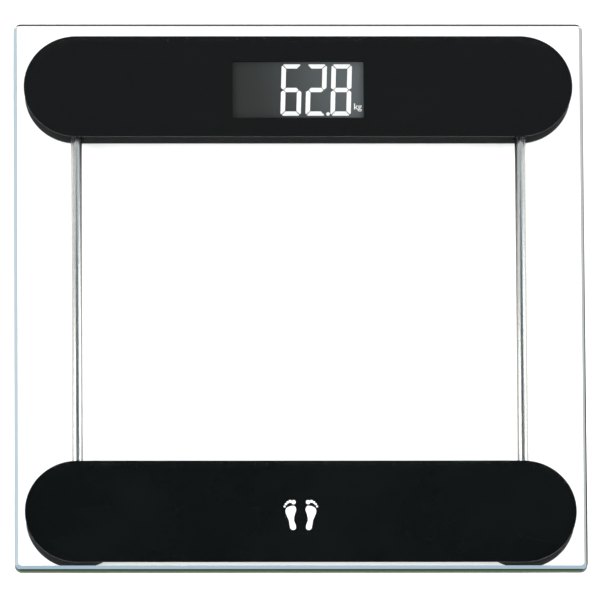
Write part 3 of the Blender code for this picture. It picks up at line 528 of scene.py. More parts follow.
def sleeveFinish(name, node):  # printed battery sleeve: dark body with a copper shoulder
    look = {"body": (0.012, 0.013, 0.016), "band": (0.52, 0.20, 0.05), "end": (0.55, 0.54, 0.52)}
    sleeve = Finish(name, roughness=0.28, coatWeight=0.35)
    low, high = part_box(node)
    at = sleeve.place((low + high) / 2)
    side = 1.0 if node == "battery_back" else -1.0
    along = sleeve.axis(at, 0) * (side / (high.x - low.x)) + 0.5
    shoulder = sleeve.fade(along, 0.685, 0.69)
    hoop = sleeve.fade(along, 0.655, 0.66) - sleeve.fade(along, 0.668, 0.673)
    bare = sleeve.fade(along, 0.964, 0.968) + sleeve.fade(0 - along, -0.014, -0.010)
    printed = sleeve.blend(shoulder, tone(look["body"]), tone(look["band"]))
    printed = sleeve.blend(hoop, printed, tone(0.72))
    scuff = sleeve.noise(at, 260.0, 4.0)
    sleeve.feed("Base Color", sleeve.blend(bare, printed, tone(look["end"])))
    sleeve.feed("Metallic", bare * 0.95)
    sleeve.feed("Roughness", 0.2 + scuff * 0.18)
    return sleeve.material


def wireFinish():  # four coloured strands laid together
    look = {"lay": 3.2 * mm, "strands": [(0.0, (0.012, 0.012, 0.014)), (0.36, (0.50, 0.02, 0.015)),
                                         (0.64, (0.72, 0.72, 0.70)), (0.9, (0.02, 0.16, 0.05))]}
    wire = Finish("wireSleeve", roughness=0.45)
    at = wire.place()
    strands = wire.node("TexWave", {"bands_direction": "DIAGONAL"}, {
        "Vector": at, "Scale": 1 / look["lay"] / 20, "Distortion": 0.0})
    shade = wire.node("ValToRGB", {"stops": look["strands"]}, {0: strands})
    wire.tree.nodes[-1].color_ramp.interpolation = "CONSTANT"
    wire.feed("Base Color", shade)
    wire.feed("Normal", wire.bump(strands, 0.4, 0.1 * mm))
    return wire.material


finishes = {
    "glass": glassFinish(),
    "rim": rimFinish(),
    "print": printFinish(),
    "housing": plasticFinish("housingPlastic", (0.0058, 0.0060, 0.0064), shine=0.003),
    "cover": plasticFinish("coverPlastic", (0.016, 0.017, 0.018), 0.55, 900.0),
    "cup": plasticFinish("cupPlastic", (0.022, 0.023, 0.024), 0.5, 1200.0),
    "button": plasticFinish("buttonPlastic", (0.050, 0.052, 0.056), 0.45, 1400.0),
    "label": labelFinish(),
    "inner": plasticFinish("innerPlastic", (0.030, 0.030, 0.031), 0.5, 1100.0),
    "pad": rubberFinish("footRubber", (0.045, 0.046, 0.048)),
    "bush": rubberFinish("bushRubber", (0.012, 0.012, 0.013), shine=0.02),
    "tube_left": tubeFinish("left"),
    "tube_right": tubeFinish("right"),
    "cell": plateFinish("cellSteel", (0.60, 0.61, 0.62)),
    "screw": plateFinish("screwSteel", (0.50, 0.50, 0.49), 0.28),
    "contact": plateFinish("contactNickel", (0.66, 0.63, 0.58), 0.24),
    "panel": panelFinish(),
    "lit": glowFinish("litSegments", (0.6, 0.6, 0.6), 0.25),
    "mark": inkMarkFinish(),
    "board": boardFinish(),
    "milky": milkyFinish(),
    "wire": wireFinish(),
}
print("finishes made:", len(finishes))


# Glass platform

def glassPlate():
    low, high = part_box("glass_platform")
    width, depth = high.x - low.x, high.y - low.y
    bevel, drop, arris = glassShape["bevel"], glassShape["bevelDrop"], glassShape["arris"]
    soften = glassShape["soften"]
    profile = [  # how far in from the outline, and the height
        (arris, low.z),
        (arris * 0.3, low.z + arris * 0.3),
        (0.0, low.z + arris),
        (0.0, high.z - drop - soften),
        (soften * 0.12, high.z - drop - soften * 0.35),
        (soften * 0.55, high.z - drop + soften * 0.1),
        (bevel - soften * 0.9, high.z - soften * 0.62),
        (bevel - soften * 0.3, high.z - soften * 0.12),
        (bevel + soften * 0.35, high.z),
    ]
    sections = []
    for inset, z in profile:
        corner = glassShape["corner"] - inset
        sections.append((slabPoints(width - 2 * inset, depth - 2 * inset, corner, 16), z))
    plate = meshObject("glassPlate", lambda bm: loftRings(bm, sections), sharp=80)
    mount(plate, finishes["glass"], replaced=["glass_platform"])
    plate.data.materials.append(finishes["rim"])
    for face in plate.data.polygons:
        face.use_smooth = face.area < 0.01  # the two broad faces stay truly flat
        if face.use_smooth and face.center.z > low.z + arris:
            face.material_index = 1
    plate.visible_shadow = False  # light passes through to the floor
    plate.visible_diffuse = False
    return plate


# Black print under the glass

def printFilm(name, node, hole=None):
    low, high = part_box(node)
    centre, radius = (low + high) / 2, (high.y - low.y) / 2
    outline = stadiumPoints((high.x - low.x) / 2 - radius, radius, centre=(centre.x, centre.y))
    film = meshObject(name, lambda bm: prism(bm, outline, low.z, high.z))
    if hole:
        carve(film, lambda bm: prism(bm, hole, low.z - mm, high.z + mm))
    return mount(film, finishes["print"], replaced=[node])


def windowOutline():  # the opening over the liquid crystal panel, inside its glass border
    border = {"x": 1.35 * mm, "y": 1.0 * mm, "corner": 0.6 * mm}
    size, centre = span("lcd_panel"), middle("lcd_panel")
    return slabPoints(size.x - 2 * border["x"], size.y - 2 * border["y"], border["corner"], 6,
                      (centre.x, centre.y))


markShape = {"height": 18.4 * mm, "apart": 10.4 * mm, "splay": 8.0, "ink": 0.05 * mm, "lift": 0.03 * mm,
             "behind": -1.5 * mm}


def smoothLoop(points, steps=6):  # closed Catmull-Rom curve through the points
    loop = []
    count = len(points)
    for i in range(count):
        a, b, c, d = (Vector(points[(i + k) % count]) for k in (-1, 0, 1, 2))
        for j in range(steps):
            t = j / steps
            loop.append(tuple(0.5 * (2 * b + (c - a) * t + (2 * a - 5 * b + 4 * c - d) * t * t
                                     + (3 * b - a - 3 * c + d) * t ** 3)))
    return loop


def footprintMark():  # a plain pair of footprints, soles and toes, in shares of their height
    low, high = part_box("front_mask_film")
    centre = (low + high) / 2
    tall, ink = markShape["height"], markShape["ink"]
    bottom = high.z + markShape["lift"]
    sole = [(0.0, 0.0), (0.085, 0.045), (0.098, 0.16), (0.098, 0.30), (0.135, 0.45), (0.158, 0.58),
            (0.118, 0.69), (0.0, 0.735), (-0.125, 0.725), (-0.162, 0.61), (-0.095, 0.46), (-0.05, 0.30),
            (-0.078, 0.14), (-0.068, 0.04)]
    toes = [(-0.118, 0.845, 0.066), (-0.022, 0.885, 0.045), (0.052, 0.862, 0.039), (0.114, 0.815, 0.035),
            (0.162, 0.750, 0.031)]

    def build(bm):
        for side in (-1, 1):
            turn = Matrix.Rotation(math.radians(-markShape["splay"] * side), 2)
            corner = Vector((centre.x + side * markShape["apart"] / 2, centre.y + markShape["behind"]))
            for shape in [smoothLoop(sole)] + [circlePoints(r, 24, (x, y)) for x, y, r in toes]:
                moved = [corner + turn @ Vector((side * x * tall, (y - 0.5) * tall)) for x, y in shape]
                prism(bm, [tuple(p) for p in moved], bottom, bottom + ink)

    mark = meshObject("footprintMark", build)
    return mount(mark, finishes["mark"])


print("building glass and prints")
glassPlate()
printFilm("frontPrint", "front_mask_film")
printFilm("backPrint", "back_mask_film", windowOutline())
footprintMark()


# Pods

podShape = {"wall": 2.0 * mm, "draft": 0.35 * mm, "footRound": 0.7 * mm, "topRound": 0.25 * mm,
            "plate": 1.4 * mm, "holeRound": 0.3 * mm, "gap": 0.3 * mm, "post": 2.8 * mm, "boss": 4.5 * mm,
            "bayWall": 1.2 * mm, "bayDepth": 22.8 * mm, "screwHole": 1.45 * mm, "boardHole": 1.2 * mm}


def podSections(node, outline):  # drafted outer wall with rounded foot and top edges
    low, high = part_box(node)
    radius = (high.y - low.y) / 2
    foot, top = podShape["footRound"], podShape["topRound"]
    base = radius - podShape["draft"]
    sections = [(outline(base - foot + r), low.z + foot + z)
                for r, z in arcPoints((0, 0), foot, -90, 0, 6)]
    sections += [(outline(radius - top + r), high.z - top + z)
                 for r, z in arcPoints((0, 0), top, 0, 90, 4)]
    return sections


def podHollow(bm, node, outline, ceiling):
    low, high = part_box(node)
    inner = (high.y - low.y) / 2 - podShape["draft"] - podShape["wall"]
    prism(bm, outline(inner), low.z - mm, ceiling)


def tubeHole(bm, side, y, reach):
    bush = span(f"tube_bush_back_{side}").x / 2 + podShape["holeRound"]
    at = middle(f"bridge_tube_{side}")
    ring = circlePoints(bush, 48)
    ends = [[bm.verts.new((at.x + px, y + way * reach, at.z + pz)) for px, pz in ring] for way in (-1, 1)]
    bm.faces.new(ends[0])
    bm.faces.new(list(reversed(ends[1])))
    for i in range(len(ring)):
        j = (i + 1) % len(ring)
        bm.faces.new((ends[1][i], ends[1][j], ends[0][j], ends[0][i]))


def backHousing():
    node = "back_housing"
    low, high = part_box(node)
    centre, radius = (low + high) / 2, (high.y - low.y) / 2
    half = (high.x - low.x) / 2 - radius
    outline = lambda r: stadiumPoints(half, r, centre=(centre.x, centre.y))
    ceiling = high.z - podShape["plate"]
    shell = meshObject("backShell", lambda bm: loftRings(bm, podSections(node, outline)))
    carve(shell, lambda bm: podHollow(bm, node, outline, ceiling))
    coverTop, gap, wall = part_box("back_base_cover")[1].z, podShape["gap"], podShape["bayWall"]
    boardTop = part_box("main_board")[1].z
    bay, bayLength = middle("battery_door"), span("battery_door").x - 2 * wall
    root = ceiling + podShape["plate"] / 2
    coverPosts = [middle(f"cover_screw_{number}") for number in range(1, 7)]
    boardPosts = [at for at in (middle(f"board_screw_{number}") for number in range(1, 5)) if at.x > 0]

    def bayBox(extra):
        return slabPoints(bayLength + 2 * extra, podShape["bayDepth"] + 2 * extra, 0.6 * mm + extra, 4,
                          (bay.x, centre.y))

    def posts(bm):
        for at in coverPosts:
            prism(bm, circlePoints(podShape["post"], 32, (at.x, at.y)), coverTop + gap, root)
        for at in boardPosts:
            prism(bm, circlePoints(podShape["post"], 32, (at.x, at.y)), boardTop + gap, root)
        for side in ("left", "right"):
            at, top = middle(f"load_dome_back_{side}"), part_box(f"load_dome_back_{side}")[1].z
            prism(bm, circlePoints(podShape["boss"], 40, (at.x, at.y)), top + gap, root)
        prism(bm, bayBox(wall), coverTop + gap, root)

    carve(shell, posts, "UNION")

    def openings(bm):
        prism(bm, windowOutline(), ceiling - mm, high.z + mm)
        prism(bm, bayBox(0.0), coverTop, ceiling)
        for side in ("left", "right"):
            tubeHole(bm, side, low.y, 5 * mm)
        for at in coverPosts:
            prism(bm, circlePoints(podShape["screwHole"], 24, (at.x, at.y)), coverTop, ceiling - 3 * mm)
        for at in boardPosts:
            prism(bm, circlePoints(podShape["boardHole"], 24, (at.x, at.y)), boardTop, ceiling - mm)

    carve(shell, openings)
    return mount(shell, finishes["housing"], replaced=[node])


def frontDrum(side):
    node = f"front_{side}_housing"
    low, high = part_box(node)
    centre = (low + high) / 2
    outline = lambda r: circlePoints(r, 160, (centre.x, centre.y))
    ceiling = high.z - podShape["plate"]
    drum = meshObject(f"frontDrum_{side}", lambda bm: loftRings(bm, podSections(node, outline)))
    carve(drum, lambda bm: podHollow(bm, node, outline, ceiling))
    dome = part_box(f"load_dome_front_{side}")[1]
    boss = circlePoints(4.5 * mm, 40, (centre.x, centre.y))
    carve(drum, lambda bm: prism(bm, boss, dome.z + 0.3 * mm, ceiling + 0.5 * mm), "UNION")
    carve(drum, lambda bm: tubeHole(bm, side, high.y, 5 * mm))
    return mount(drum, finishes["housing"], replaced=[node])


# Steel tubes

tubeShape = {"wall": 0.8 * mm, "lip": 0.25 * mm, "sides": 64}


def alongY(bm, at, sections):  # closed ring of (radius, y) sections about an axis along Y
    rings = []
    for radius, y in sections:
        rings.append([bm.verts.new((at.x + px, y, at.z + pz))
                      for px, pz in circlePoints(radius, tubeShape["sides"])])
    for low, high in zip(rings, rings[1:] + rings[:1]):
        for i in range(len(low)):
            j = (i + 1) % len(low)
            bm.faces.new((high[i], high[j], low[j], low[i]))


def steelTube(side):
    node = f"bridge_tube_{side}"
    low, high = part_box(node)
    radius, lip, wall = (high.x - low.x) / 2, tubeShape["lip"], tubeShape["wall"]
    bore = radius - wall
    sections = []
    for y, way in ((low.y, 1), (high.y, -1)):
        ends = [(bore, y + way * lip), (bore + lip * 0.3, y + way * lip * 0.3), (bore + lip, y),
                (radius - lip, y), (radius - lip * 0.3, y + way * lip * 0.3), (radius, y + way * lip)]
        sections += ends if way == 1 else list(reversed(ends))
    tube = meshObject(f"steelTube_{side}", lambda bm: alongY(bm, middle(node), sections))
    return mount(tube, finishes[f"tube_{side}"], replaced=[node])


def tubeBush(end, side):
    node = f"tube_bush_{end}_{side}"
    low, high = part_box(node)
    outer = (high.x - low.x) / 2
    inner = span(f"bridge_tube_{side}").x / 2 + 0.12 * mm
    lip = 0.3 * mm
    sections = [(inner, low.y), (outer - lip, low.y), (outer, low.y + lip), (outer, high.y - lip),
                (outer - lip, high.y), (inner, high.y)]
    bush = meshObject(f"tubeBush_{end}_{side}", lambda bm: alongY(bm, middle(node), sections))
    return mount(bush, finishes["bush"], replaced=[node])


print("building pods and tubes")
backHousing()
for side in ("left", "right"):
    frontDrum(side)
    steelTube(side)
    for end in ("back", "front"):
        tubeBush(end, side)


# Display

digitShape = {"width": 11.1 * mm, "height": 29.4 * mm, "bar": 2.45 * mm, "gap": 0.48 * mm,
              "slant": 0.030, "pitch": 13.6 * mm, "lift": 0.04 * mm, "thick": 0.05 * mm,
              "corner": 1.1 * mm, "reading": "62.8", "inset": 27.3 * mm, "rise": 2.85 * mm,
              "dot": 1.0 * mm, "dotGap": 1.25 * mm}
litBars = {"6": "afgedc", "2": "abged", "8": "abcdefg"}


def barOutline(which):  # one bar of a digit, its mitred ends a gap away from its neighbours
    w, h, t = digitShape["width"], digitShape["height"], digitShape["bar"]
    g, c, m = digitShape["gap"] / 2, digitShape["corner"], digitShape["height"] / 2
    top = [(c + g, h), (w - c - g, h), (w - c * 0.55 - g, h - c * 0.45 + g * 0.1), (w - t - g, h - t),
           (t + g, h - t), (c * 0.55 + g, h - c * 0.45 + g * 0.1)]
    upper = [(w, h - c - g), (w, m + t * 0.38 + g), (w - t * 0.55, m + g), (w - t, m + t / 2 + g),
             (w - t, h - t - g), (w - c * 0.45, h - c * 0.55 - g)]
    centre = [(t * 0.55 + g, m), (t + g, m + t / 2), (w - t - g, m + t / 2), (w - t * 0.55 - g, m),
              (w - t - g, m - t / 2), (t + g, m - t / 2)]
    flipX = lambda points: [(w - x, y) for x, y in points]
    flipY = lambda points: [(x, h - y) for x, y in points]
    bars = {"a": top, "b": upper, "c": flipY(upper), "d": flipY(top), "e": flipX(flipY(upper)),
            "f": flipX(upper), "g": centre}
    return bars[which]


def displayBars():
    panelLow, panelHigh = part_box("lcd_panel")
    size = digitShape
    bottom = panelHigh.z + size["lift"]
    firstX = panelLow.x + size["inset"]
    baseY = panelLow.y + size["rise"]

    def solid(bm, outline, left):
        shifted = [(left + x + y * size["slant"], baseY + y) for x, y in outline]
        prism(bm, shifted, bottom, bottom + size["thick"])

    def build(bm):
        left = firstX
        for mark in size["reading"]:
            if mark == ".":
                dotX = left - size["pitch"] + size["width"] + size["dotGap"]
                dot = circlePoints(size["dot"], 32, (dotX, size["dot"]))
                solid(bm, dot, 0.0)
                continue
            for bar in litBars[mark]:
                solid(bm, barOutline(bar), left)
            left += size["pitch"]

    bars = meshObject("displayDigits", build)
    mount(bars, finishes["lit"])
    return firstX, baseY, bottom


def unitText(firstX, baseY, bottom):
    word = {"text": "kg", "size": 4.9 * mm, "bold": 0.05 * mm, "x": 39.9 * mm, "y": 3.6 * mm}
    letters = bpy.data.curves.new("unitLetters", "FONT")
    letters.body = word["text"]
    letters.size = word["size"]
    letters.offset = word["bold"]
    letters.extrude = digitShape["thick"] / 2
    maker = bpy.data.objects.new("unitMaker", letters)
    bpy.context.scene.collection.objects.link(maker)
    graph = bpy.context.evaluated_depsgraph_get()
    mesh = bpy.data.meshes.new_from_object(maker.evaluated_get(graph))
    bpy.data.objects.remove(maker, do_unlink=True)
    place = Vector((firstX + word["x"], baseY + word["y"], bottom + digitShape["thick"] / 2))
    mesh.transform(Matrix.Translation(place))
    unit = bpy.data.objects.new("displayUnit", mesh)
    bpy.context.scene.collection.objects.link(unit)
    return mount(unit, finishes["lit"])


print("building display")
unitText(*displayBars())


screwShape = {"cover": {"headRadius": 2.4 * mm, "headHeight": 1.1 * mm, "shaftRadius": 1.15 * mm,
                        "length": 5.6 * mm, "slotWidth": 0.75 * mm, "seed": 7},
              "board": {"headRadius": 1.7 * mm, "headHeight": 0.8 * mm, "shaftRadius": 0.9 * mm,
                        "length": 4.0 * mm, "slotWidth": 0.55 * mm, "seed": 11}}


def screwGrowth():  # cross-recessed pan head below a shaft that points up, each turned its own way
    tree = Growth("screwGrowth", ["headRadius", "headHeight", "shaftRadius", "length", "slotWidth", "seed"])
    tree.finish = finishes["screw"]
    radius, height, slot = tree.size("headRadius"), tree.size("headHeight"), tree.size("slotWidth")
    crown = tree.node("MeshCone", {}, {"Vertices": 32, "Radius Top": radius, "Radius Bottom": radius * 0.72,
                                       "Depth": height * 0.55})
    reach, deep = radius * 1.24, height * 0.9
    for length, width in ((reach, slot), (slot, reach)):
        bar = tree.node("MeshCube", {}, {"Size": tree.vector(length, width, deep)})
        crown = tree.node("MeshBoolean", {"operation": "DIFFERENCE"}, {0: crown, 1: bar})
    skirt = tree.node("MeshCylinder", {}, {"Vertices": 32, "Radius": radius, "Depth": height * 0.45})
    shaft = tree.node("MeshCylinder", {}, {"Vertices": 16, "Radius": tree.size("shaftRadius"),
                                           "Depth": tree.size("length")})
    screw = tree.join(crown, tree.shift(skirt, z=height * 0.775),
                      tree.shift(shaft, z=height + tree.size("length") / 2))
    turn = tree.node("FunctionNodeRandomValue", {"data_type": "FLOAT_VECTOR"},
                     {0: (0, 0, 0), 1: (0, 0, math.tau), "Seed": tree.size("seed")})
    tree.spread(screw, turn=turn)
    return tree


def screwSet(kind, count, tree):
    names = [f"{kind}_screw_{number}" for number in range(1, count + 1)]
    feet = [(middle(name).x, middle(name).y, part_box(name)[0].z) for name in names]
    screws = grow(f"{kind}Screws", tree, screwShape[kind], feet)
    mount(screws, finishes["screw"], replaced=names)


footShape = {"padEdge": 0.7 * mm, "tread": 0.45 * mm, "studRadius": 1.05 * mm, "studRings": [4.0, 8.2, 12.3],
             "studGap": 3.3, "wall": 1.6 * mm, "rim": 2.0 * mm, "flange": 1.9 * mm, "cupRadius": 18.0 * mm,
             "well": 13.0 * mm, "floor": 1.5 * mm, "edge": 0.5 * mm, "gap": 0.3 * mm, "domeKeep": 0.5}


def studGrowth():
    tree = Growth("studGrowth", ["studRadius", "studHeight"])
    tree.finish = finishes["pad"]
    radius, height = tree.size("studRadius"), tree.size("studHeight")
    base = tree.node("MeshCylinder", {}, {"Vertices": 14, "Radius": radius, "Depth": height * 0.7})
    tip = tree.node("MeshCone", {}, {"Vertices": 14, "Radius Top": radius, "Radius Bottom": radius * 0.7,
                                     "Depth": height * 0.3})
    tree.spread(tree.join(tree.shift(base, z=height * 0.65), tip))
    return tree


def rubberPad(name, tree):
    node, body = f"foot_pad_{name}", f"foot_{name}"
    low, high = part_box(node)
    at, radius = (low + high) / 2, (high.x - low.x) / 2
    sole, edge = low.z + footShape["tread"], footShape["padEdge"]
    profile = [(0, sole)]
    profile += [(radius - edge + r, sole + edge + z) for r, z in arcPoints((0, 0), edge, -90, 0, 5)]
    profile += [(radius, high.z - 0.2 * mm), (radius - 0.2 * mm, high.z), (0, high.z)]
    pad = meshObject(f"rubberPad_{name}", lambda bm: lathe(bm, profile, 96, (at.x, at.y)))
    mount(pad, finishes["pad"], body, [node])
    feet = []
    for ring in footShape["studRings"]:
        count = round(math.tau * ring / footShape["studGap"])
        feet += [(x, y, low.z) for x, y in circlePoints(ring * mm, count, (at.x, at.y))]
    sizes = {"studRadius": footShape["studRadius"], "studHeight": footShape["tread"] + 0.3 * mm}
    studs = grow(f"padTread_{name}", tree, sizes, feet)
    mount(studs, finishes["pad"], body)


def footCup(name):
    node, body = f"foot_cup_{name}", f"foot_{name}"
    low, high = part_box(node)
    at, size = (low + high) / 2, footShape
    recess = span(f"foot_pad_{name}").x / 2 + size["gap"]
    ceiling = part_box(f"foot_pad_{name}")[1].z + size["gap"]
    flangeTop = high.z - size["rim"]
    skirt, flange, edge = size["cupRadius"], (high.x - low.x) / 2, size["edge"]
    profile = [(0, ceiling), (recess, ceiling), (recess, low.z)]
    profile += [(skirt - edge + r, low.z + edge + z) for r, z in arcPoints((0, 0), edge, -90, 0, 5)]
    profile += [(skirt, flangeTop - size["flange"]), (flange, flangeTop - size["flange"])]
    small = edge / 2
    profile += [(flange - small + r, high.z - small + z) for r, z in arcPoints((0, 0), small, 0, 90, 3)]
    profile += [(flange - size["wall"], high.z), (flange - size["wall"], flangeTop)]
    floorTop = ceiling + size["floor"]
    profile += [(size["well"], flangeTop), (size["well"], floorTop), (0, floorTop)]
    cup = meshObject(f"footCup_{name}", lambda bm: lathe(bm, profile, 120, (at.x, at.y)))
    mount(cup, finishes["cup"], body, [node])


def loadDome(name):
    node = f"load_dome_{name}"
    low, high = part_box(node)
    at, radius, tall = (low + high) / 2, (high.x - low.x) / 2, high.z - low.z
    crown = [(radius * math.sin(math.radians(a)), low.z + tall * 0.36 * (1 - math.cos(math.radians(a))))
             for a in range(0, 91, 15)]
    lip = 0.12 * mm
    profile = crown + [(radius, high.z - lip), (radius - lip, high.z), (0, high.z)]
    dome = meshObject(f"loadDome_{name}", lambda bm: lathe(bm, profile, 64, (at.x, at.y)))
    mount(dome, finishes["bush"], replaced=[node])
    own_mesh(dome)


def strainGauge(name):  # potted gauge at the root of the cell's tongue, with two solder dots
    gauge = {"width": 8.0 * mm, "depth": 4.0 * mm, "back": -12.6 * mm, "tall": 0.55 * mm, "dot": 0.8 * mm}
    low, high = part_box(f"load_cell_{name}")
    at = (low + high) / 2
    centre = (at.x, at.y + gauge["back"])

    def build(bm):
        top, trim = high.z + gauge["tall"], 0.6 * mm
        outline = slabPoints(gauge["width"], gauge["depth"], 1.2 * mm, 5, centre)
        crown = slabPoints(gauge["width"] - trim, gauge["depth"] - trim, 0.9 * mm, 5, centre)
        loftRings(bm, [(outline, high.z - 0.05 * mm), (outline, top - 0.2 * mm), (crown, top)])
        for way in (-1, 1):
            dot = circlePoints(gauge["dot"], 20, (centre[0] + way * 5.6 * mm, centre[1]))
            prism(bm, dot, high.z - 0.05 * mm, high.z + 0.3 * mm)

    patch = meshObject(f"strainGauge_{name}", build)
    mount(patch, finishes["milky"], f"foot_{name}")


def unitButton():
    low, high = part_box("unit_button")
    at, size = (low + high) / 2, {"press": 4.5 * mm, "stem": 1.7 * mm, "flange": 0.8 * mm}
    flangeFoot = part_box("back_base_cover")[1].z + podShape["gap"]
    flangeTop = flangeFoot + size["flange"]
    cap, outer = size["press"], (high.x - low.x) / 2
    profile = [(0, low.z + 0.42 * mm), (cap * 0.3, low.z + 0.38 * mm), (cap * 0.6, low.z + 0.22 * mm),
               (cap * 0.84, low.z + 0.03 * mm), (cap * 0.92, low.z), (cap * 0.98, low.z + 0.12 * mm),
               (cap, low.z + 0.4 * mm), (cap, flangeFoot), (outer, flangeFoot), (outer, flangeTop),
               (size["stem"], flangeTop), (size["stem"], high.z), (0, high.z)]
    button = meshObject("unitButton", lambda bm: lathe(bm, profile, 72, (at.x, at.y)))
    mount(button, finishes["button"], "unit_button", ["unit_button"])


doorShape = {"ribs": 5, "ribLength": 11.0 * mm, "ribRadius": 0.36 * mm, "ribPitch": 1.35 * mm,
             "ribEdge": 1.6 * mm, "arrow": 2.6 * mm, "arrowBack": 12.5 * mm}


def ribGrowth():
    tree = Growth("ribGrowth", ["ribRadius", "ribLength"])
    tree.finish = finishes["cover"]
    rib = tree.node("MeshCylinder", {}, {"Vertices": 20, "Radius": tree.size("ribRadius"),
                                         "Depth": tree.size("ribLength")})
    tree.spread(tree.shift(rib, turn=(0.0, math.pi / 2, 0.0)))
    return tree


def doorGrip():  # finger ribs on the latch and an arrow that shows which way it opens
    low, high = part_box("battery_door")
    x, size = (low.x + high.x) / 2, doorShape
    feet = [(x, high.y - size["ribEdge"] - i * size["ribPitch"], low.z) for i in range(size["ribs"])]
    ribs = grow("doorRibs", ribGrowth(), {key: size[key] for key in ("ribRadius", "ribLength")}, feet)
    mount(ribs, finishes["cover"], "battery_door")
    tip, reach = high.y - size["arrowBack"], size["arrow"]
    outline = [(x - reach, tip), (x + reach, tip), (x, tip - 1.5 * reach)]
    arrow = meshObject("doorArrow", lambda bm: prism(bm, outline, low.z - 0.25 * mm, low.z + 0.05 * mm))
    mount(arrow, finishes["cover"], "battery_door")


def blankLabel():
    size = labelShape
    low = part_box("back_base_cover")[0].z
    centre = (size["x"], middle("back_base_cover").y)
    outline = slabPoints(size["width"], size["depth"], size["corner"], 8, centre)
    label = meshObject("blankLabel", lambda bm: prism(bm, outline, low - size["thick"], low + 0.02 * mm))
    mount(label, finishes["label"])


boardShape = {"pitch": 4.0 * mm, "margin": 1.6 * mm, "chipLength": 2.0 * mm, "chipWidth": 1.25 * mm,
              "chipHeight": 0.9 * mm, "seed": 3}


def chipGrowth():  # small parts of varied size
    tree = Growth("chipGrowth", ["chipLength", "chipWidth", "chipHeight", "seed"])
    tree.finish = finishes["inner"]
    body = tree.node("MeshCube", {}, {"Size": tree.vector(
        tree.size("chipLength"), tree.size("chipWidth"), tree.size("chipHeight"))})
    vary = {"data_type": "FLOAT_VECTOR"}
    scale = tree.node("FunctionNodeRandomValue", vary, {0: (0.6, 0.7, 0.7), 1: (1.25, 1.2, 1.3),
                                                        "Seed": tree.size("seed")})
    tree.spread(tree.shift(body, z=tree.size("chipHeight") / 2), scale=scale)
    return tree


def boardParts():
    low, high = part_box("main_board")
    margin, pitch = boardShape["margin"], boardShape["pitch"]
    room = 2 * margin
    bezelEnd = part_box("lcd_bezel")[1].x
    taken = ["controller_chip", "lcd_connector", "harness_back_right"]
    taken += [f"board_screw_{number}" for number in range(1, 5)]
    inTheWay = [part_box(name) for name in taken]
    feet = []
    columns = int((high.x - bezelEnd - 2 * margin) / pitch)
    rows = int((high.y - low.y - 2 * margin) / pitch)
    for column in range(columns):
        for row in range(rows):
            x, y = high.x - margin - (column + 0.5) * pitch, low.y + margin + (row + 0.5) * pitch
            clear = all(x < a.x - room or x > b.x + room or y < a.y - room or y > b.y + room
                        for a, b in inTheWay)
            if clear:
                feet.append((x, y, high.z))
    sizes = {key: boardShape[key] for key in ("chipLength", "chipWidth", "chipHeight", "seed")}
    parts = grow("boardParts", chipGrowth(), sizes, feet)
    mount(parts, finishes["inner"])


def battery(node):
    size = {"nippleRadius": 1.9 * mm, "nipple": 1.0 * mm, "edge": 0.5 * mm}
    low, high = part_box(node)
    radius, half, edge = (high.z - low.z) / 2, (high.x - low.x) / 2, size["edge"]
    shoulder = half - size["nipple"]
    profile = [(0, -half), (radius - edge, -half)]
    profile += [(radius - edge + r, -half + edge + z) for r, z in arcPoints((0, 0), edge, -60, 0, 3)]
    profile += [(radius - edge + r, shoulder - edge + z) for r, z in arcPoints((0, 0), edge, 0, 90, 4)]
    tip, groove = size["nippleRadius"], shoulder - 0.25 * mm
    profile += [(tip + 0.8 * mm, shoulder), (tip + 0.7 * mm, groove), (tip, groove),
                (tip, half - 0.2 * mm), (tip - 0.2 * mm, half), (0, half)]
    turn = 90 if node == "battery_back" else -90
    cell = meshObject(f"cell_{node}", lambda bm: lathe(bm, profile, 80))
    cell.data.transform(Matrix.Translation((low + high) / 2) @ Matrix.Rotation(math.radians(turn), 4, "Y"))
    mount(cell, sleeveFinish("sleeve_" + node, node), replaced=[node])


print("building feet, screws and small parts")
screwTree, studTree = screwGrowth(), studGrowth()
screwSet("cover", 6, screwTree)
screwSet("board", 4, screwTree)
for end in ("back", "front"):
    for side in ("left", "right"):
        rubberPad(f"{end}_{side}", studTree)
        footCup(f"{end}_{side}")
        loadDome(f"{end}_{side}")
        strainGauge(f"{end}_{side}")
unitButton()
doorGrip()
blankLabel()
boardParts()
for node in ("battery_back", "battery_front"):
    battery(node)


# Finishes on the frame's own pieces

def dress(name, finish):
    node = nodes[name]
    node.data.materials.clear()
    node.data.materials.append(finish)


for name in nodes:
    if name.endswith("ring"):
        dress(name, finishes["cup"])
    elif name == "lcd_connector":
        dress(name, finishes["bush"])
    elif name.startswith("load_cell") or name == "unit_switch":
        dress(name, finishes["cell"])
    elif name.startswith("contact"):
        dress(name, finishes["contact"])
    elif name.startswith("harness"):
        dress(name, finishes["wire"])
    elif name in ("back_base_cover", "battery_door"):
        dress(name, finishes["cover"])
    elif name in ("lcd_bezel", "controller_chip"):
        dress(name, finishes["inner"])
dress("lcd_panel", finishes["panel"])
dress("lcd_backlight", finishes["milky"])
dress("main_board", finishes["board"])


# Studio

studio = {"floor": 0.86, "floorGlow": 0.25, "floorSize": 8.0, "sky": 1.2, "flag": 0.02,
          "flagAt": (0.02, 0.297, 0.955), "softbox": 45.0, "fill": 15.0}


def studioFloor():
    floor = meshObject("studioFloor", lambda bm: bmesh.ops.create_grid(
        bm, x_segments=1, y_segments=1, size=studio["floorSize"] / 2))
    floor.location.z = -0.05 * mm
    paper = Finish("paleFloor", roughness=0.9, specularIorLevel=0.0, emissionStrength=studio["floorGlow"])
    shade = paper.blend(paper.noise(paper.place(), 3.0, 2.0), tone(studio["floor"]), tone(0.9))
    paper.feed("Base Color", shade)
    paper.shader.inputs["Emission Color"].default_value = tone(1.0)
    floor.data.materials.append(paper.material)


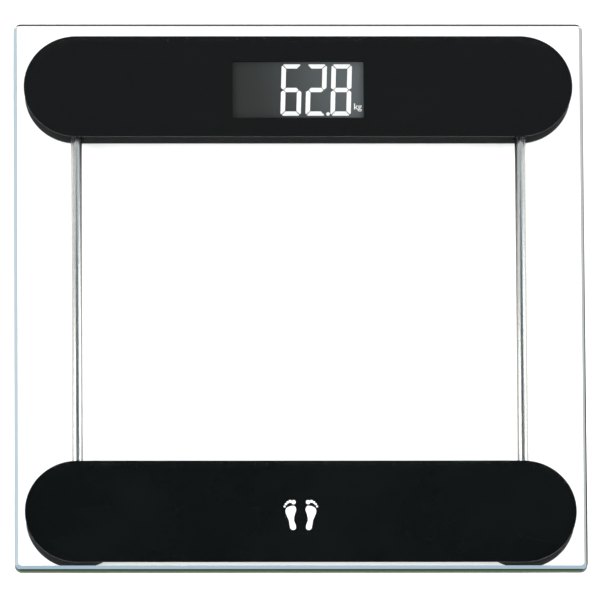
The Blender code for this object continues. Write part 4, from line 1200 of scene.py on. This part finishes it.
def studioSky():  # an even bright dome with one dark flag card above and behind
    world = bpy.data.worlds.new("studioSky")
    bpy.context.scene.world = world
    world.use_nodes = True
    tree = world.node_tree
    coordinates = tree.nodes.new("ShaderNodeTexCoord")
    towards = tree.nodes.new("ShaderNodeVectorMath")
    towards.operation = "DOT_PRODUCT"
    towards.inputs[1].default_value = studio["flagAt"]
    ramp = tree.nodes.new("ShaderNodeValToRGB")
    fillRamp(ramp.color_ramp, [(0.93, studio["sky"]), (0.975, studio["flag"])])
    tree.links.new(coordinates.outputs["Generated"], towards.inputs[0])
    tree.links.new(towards.outputs["Value"], ramp.inputs[0])
    tree.links.new(ramp.outputs["Color"], tree.nodes["Background"].inputs["Color"])


def softbox(name, place, aim, size, energy):
    lamp = bpy.data.lights.new(name, "AREA")
    lamp.shape = "RECTANGLE"
    lamp.size, lamp.size_y = size
    lamp.energy = energy
    box = bpy.data.objects.new(name, lamp)
    bpy.context.scene.collection.objects.link(box)
    box.location = place
    box.rotation_euler = (Vector(aim) - Vector(place)).to_track_quat("-Z", "Y").to_euler()
    box.visible_camera = False


def studioCamera():
    view = {"azimuth": -3.93, "elevation": 72.74, "roll": 3.74, "distance": 12.0, "lens": 1326.9,
            "aim": (0.16 * mm, -2.77 * mm)}
    az, el = math.radians(view["azimuth"]), math.radians(view["elevation"])
    back = Vector((math.sin(az) * math.cos(el), -math.cos(az) * math.cos(el), math.sin(el)))
    right = Vector((math.cos(az), math.sin(az), 0))
    up = back.cross(right)
    turn = Matrix.Rotation(math.radians(view["roll"]), 3, back)
    right, up = turn @ right, turn @ up
    target = Vector((*view["aim"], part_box("glass_platform")[1].z))
    lens = bpy.data.cameras.new("studioCamera")
    lens.lens = view["lens"]
    lens.sensor_width = 36.0
    lens.clip_end = 30.0
    camera = bpy.data.objects.new("studioCamera", lens)
    bpy.context.scene.collection.objects.link(camera)
    turned = Matrix((right, up, back)).transposed().to_4x4()
    camera.matrix_world = Matrix.Translation(target + back * view["distance"]) @ turned
    bpy.context.scene.camera = camera


studioFloor()
studioSky()
softbox("leftSoftbox", (-2.2, -0.3, 1.6), (0, 0, 0), (1.6, 2.4), studio["softbox"])
softbox("rightSoftbox", (2.2, 0.2, 1.6), (0, 0, 0), (1.6, 2.4), studio["softbox"])
softbox("frontFill", (0.0, -2.4, 1.5), (0, 0, 0), (2.4, 1.2), studio["fill"])
studioCamera()
bpy.context.scene.view_settings.view_transform = "Standard"
print("studio ready")
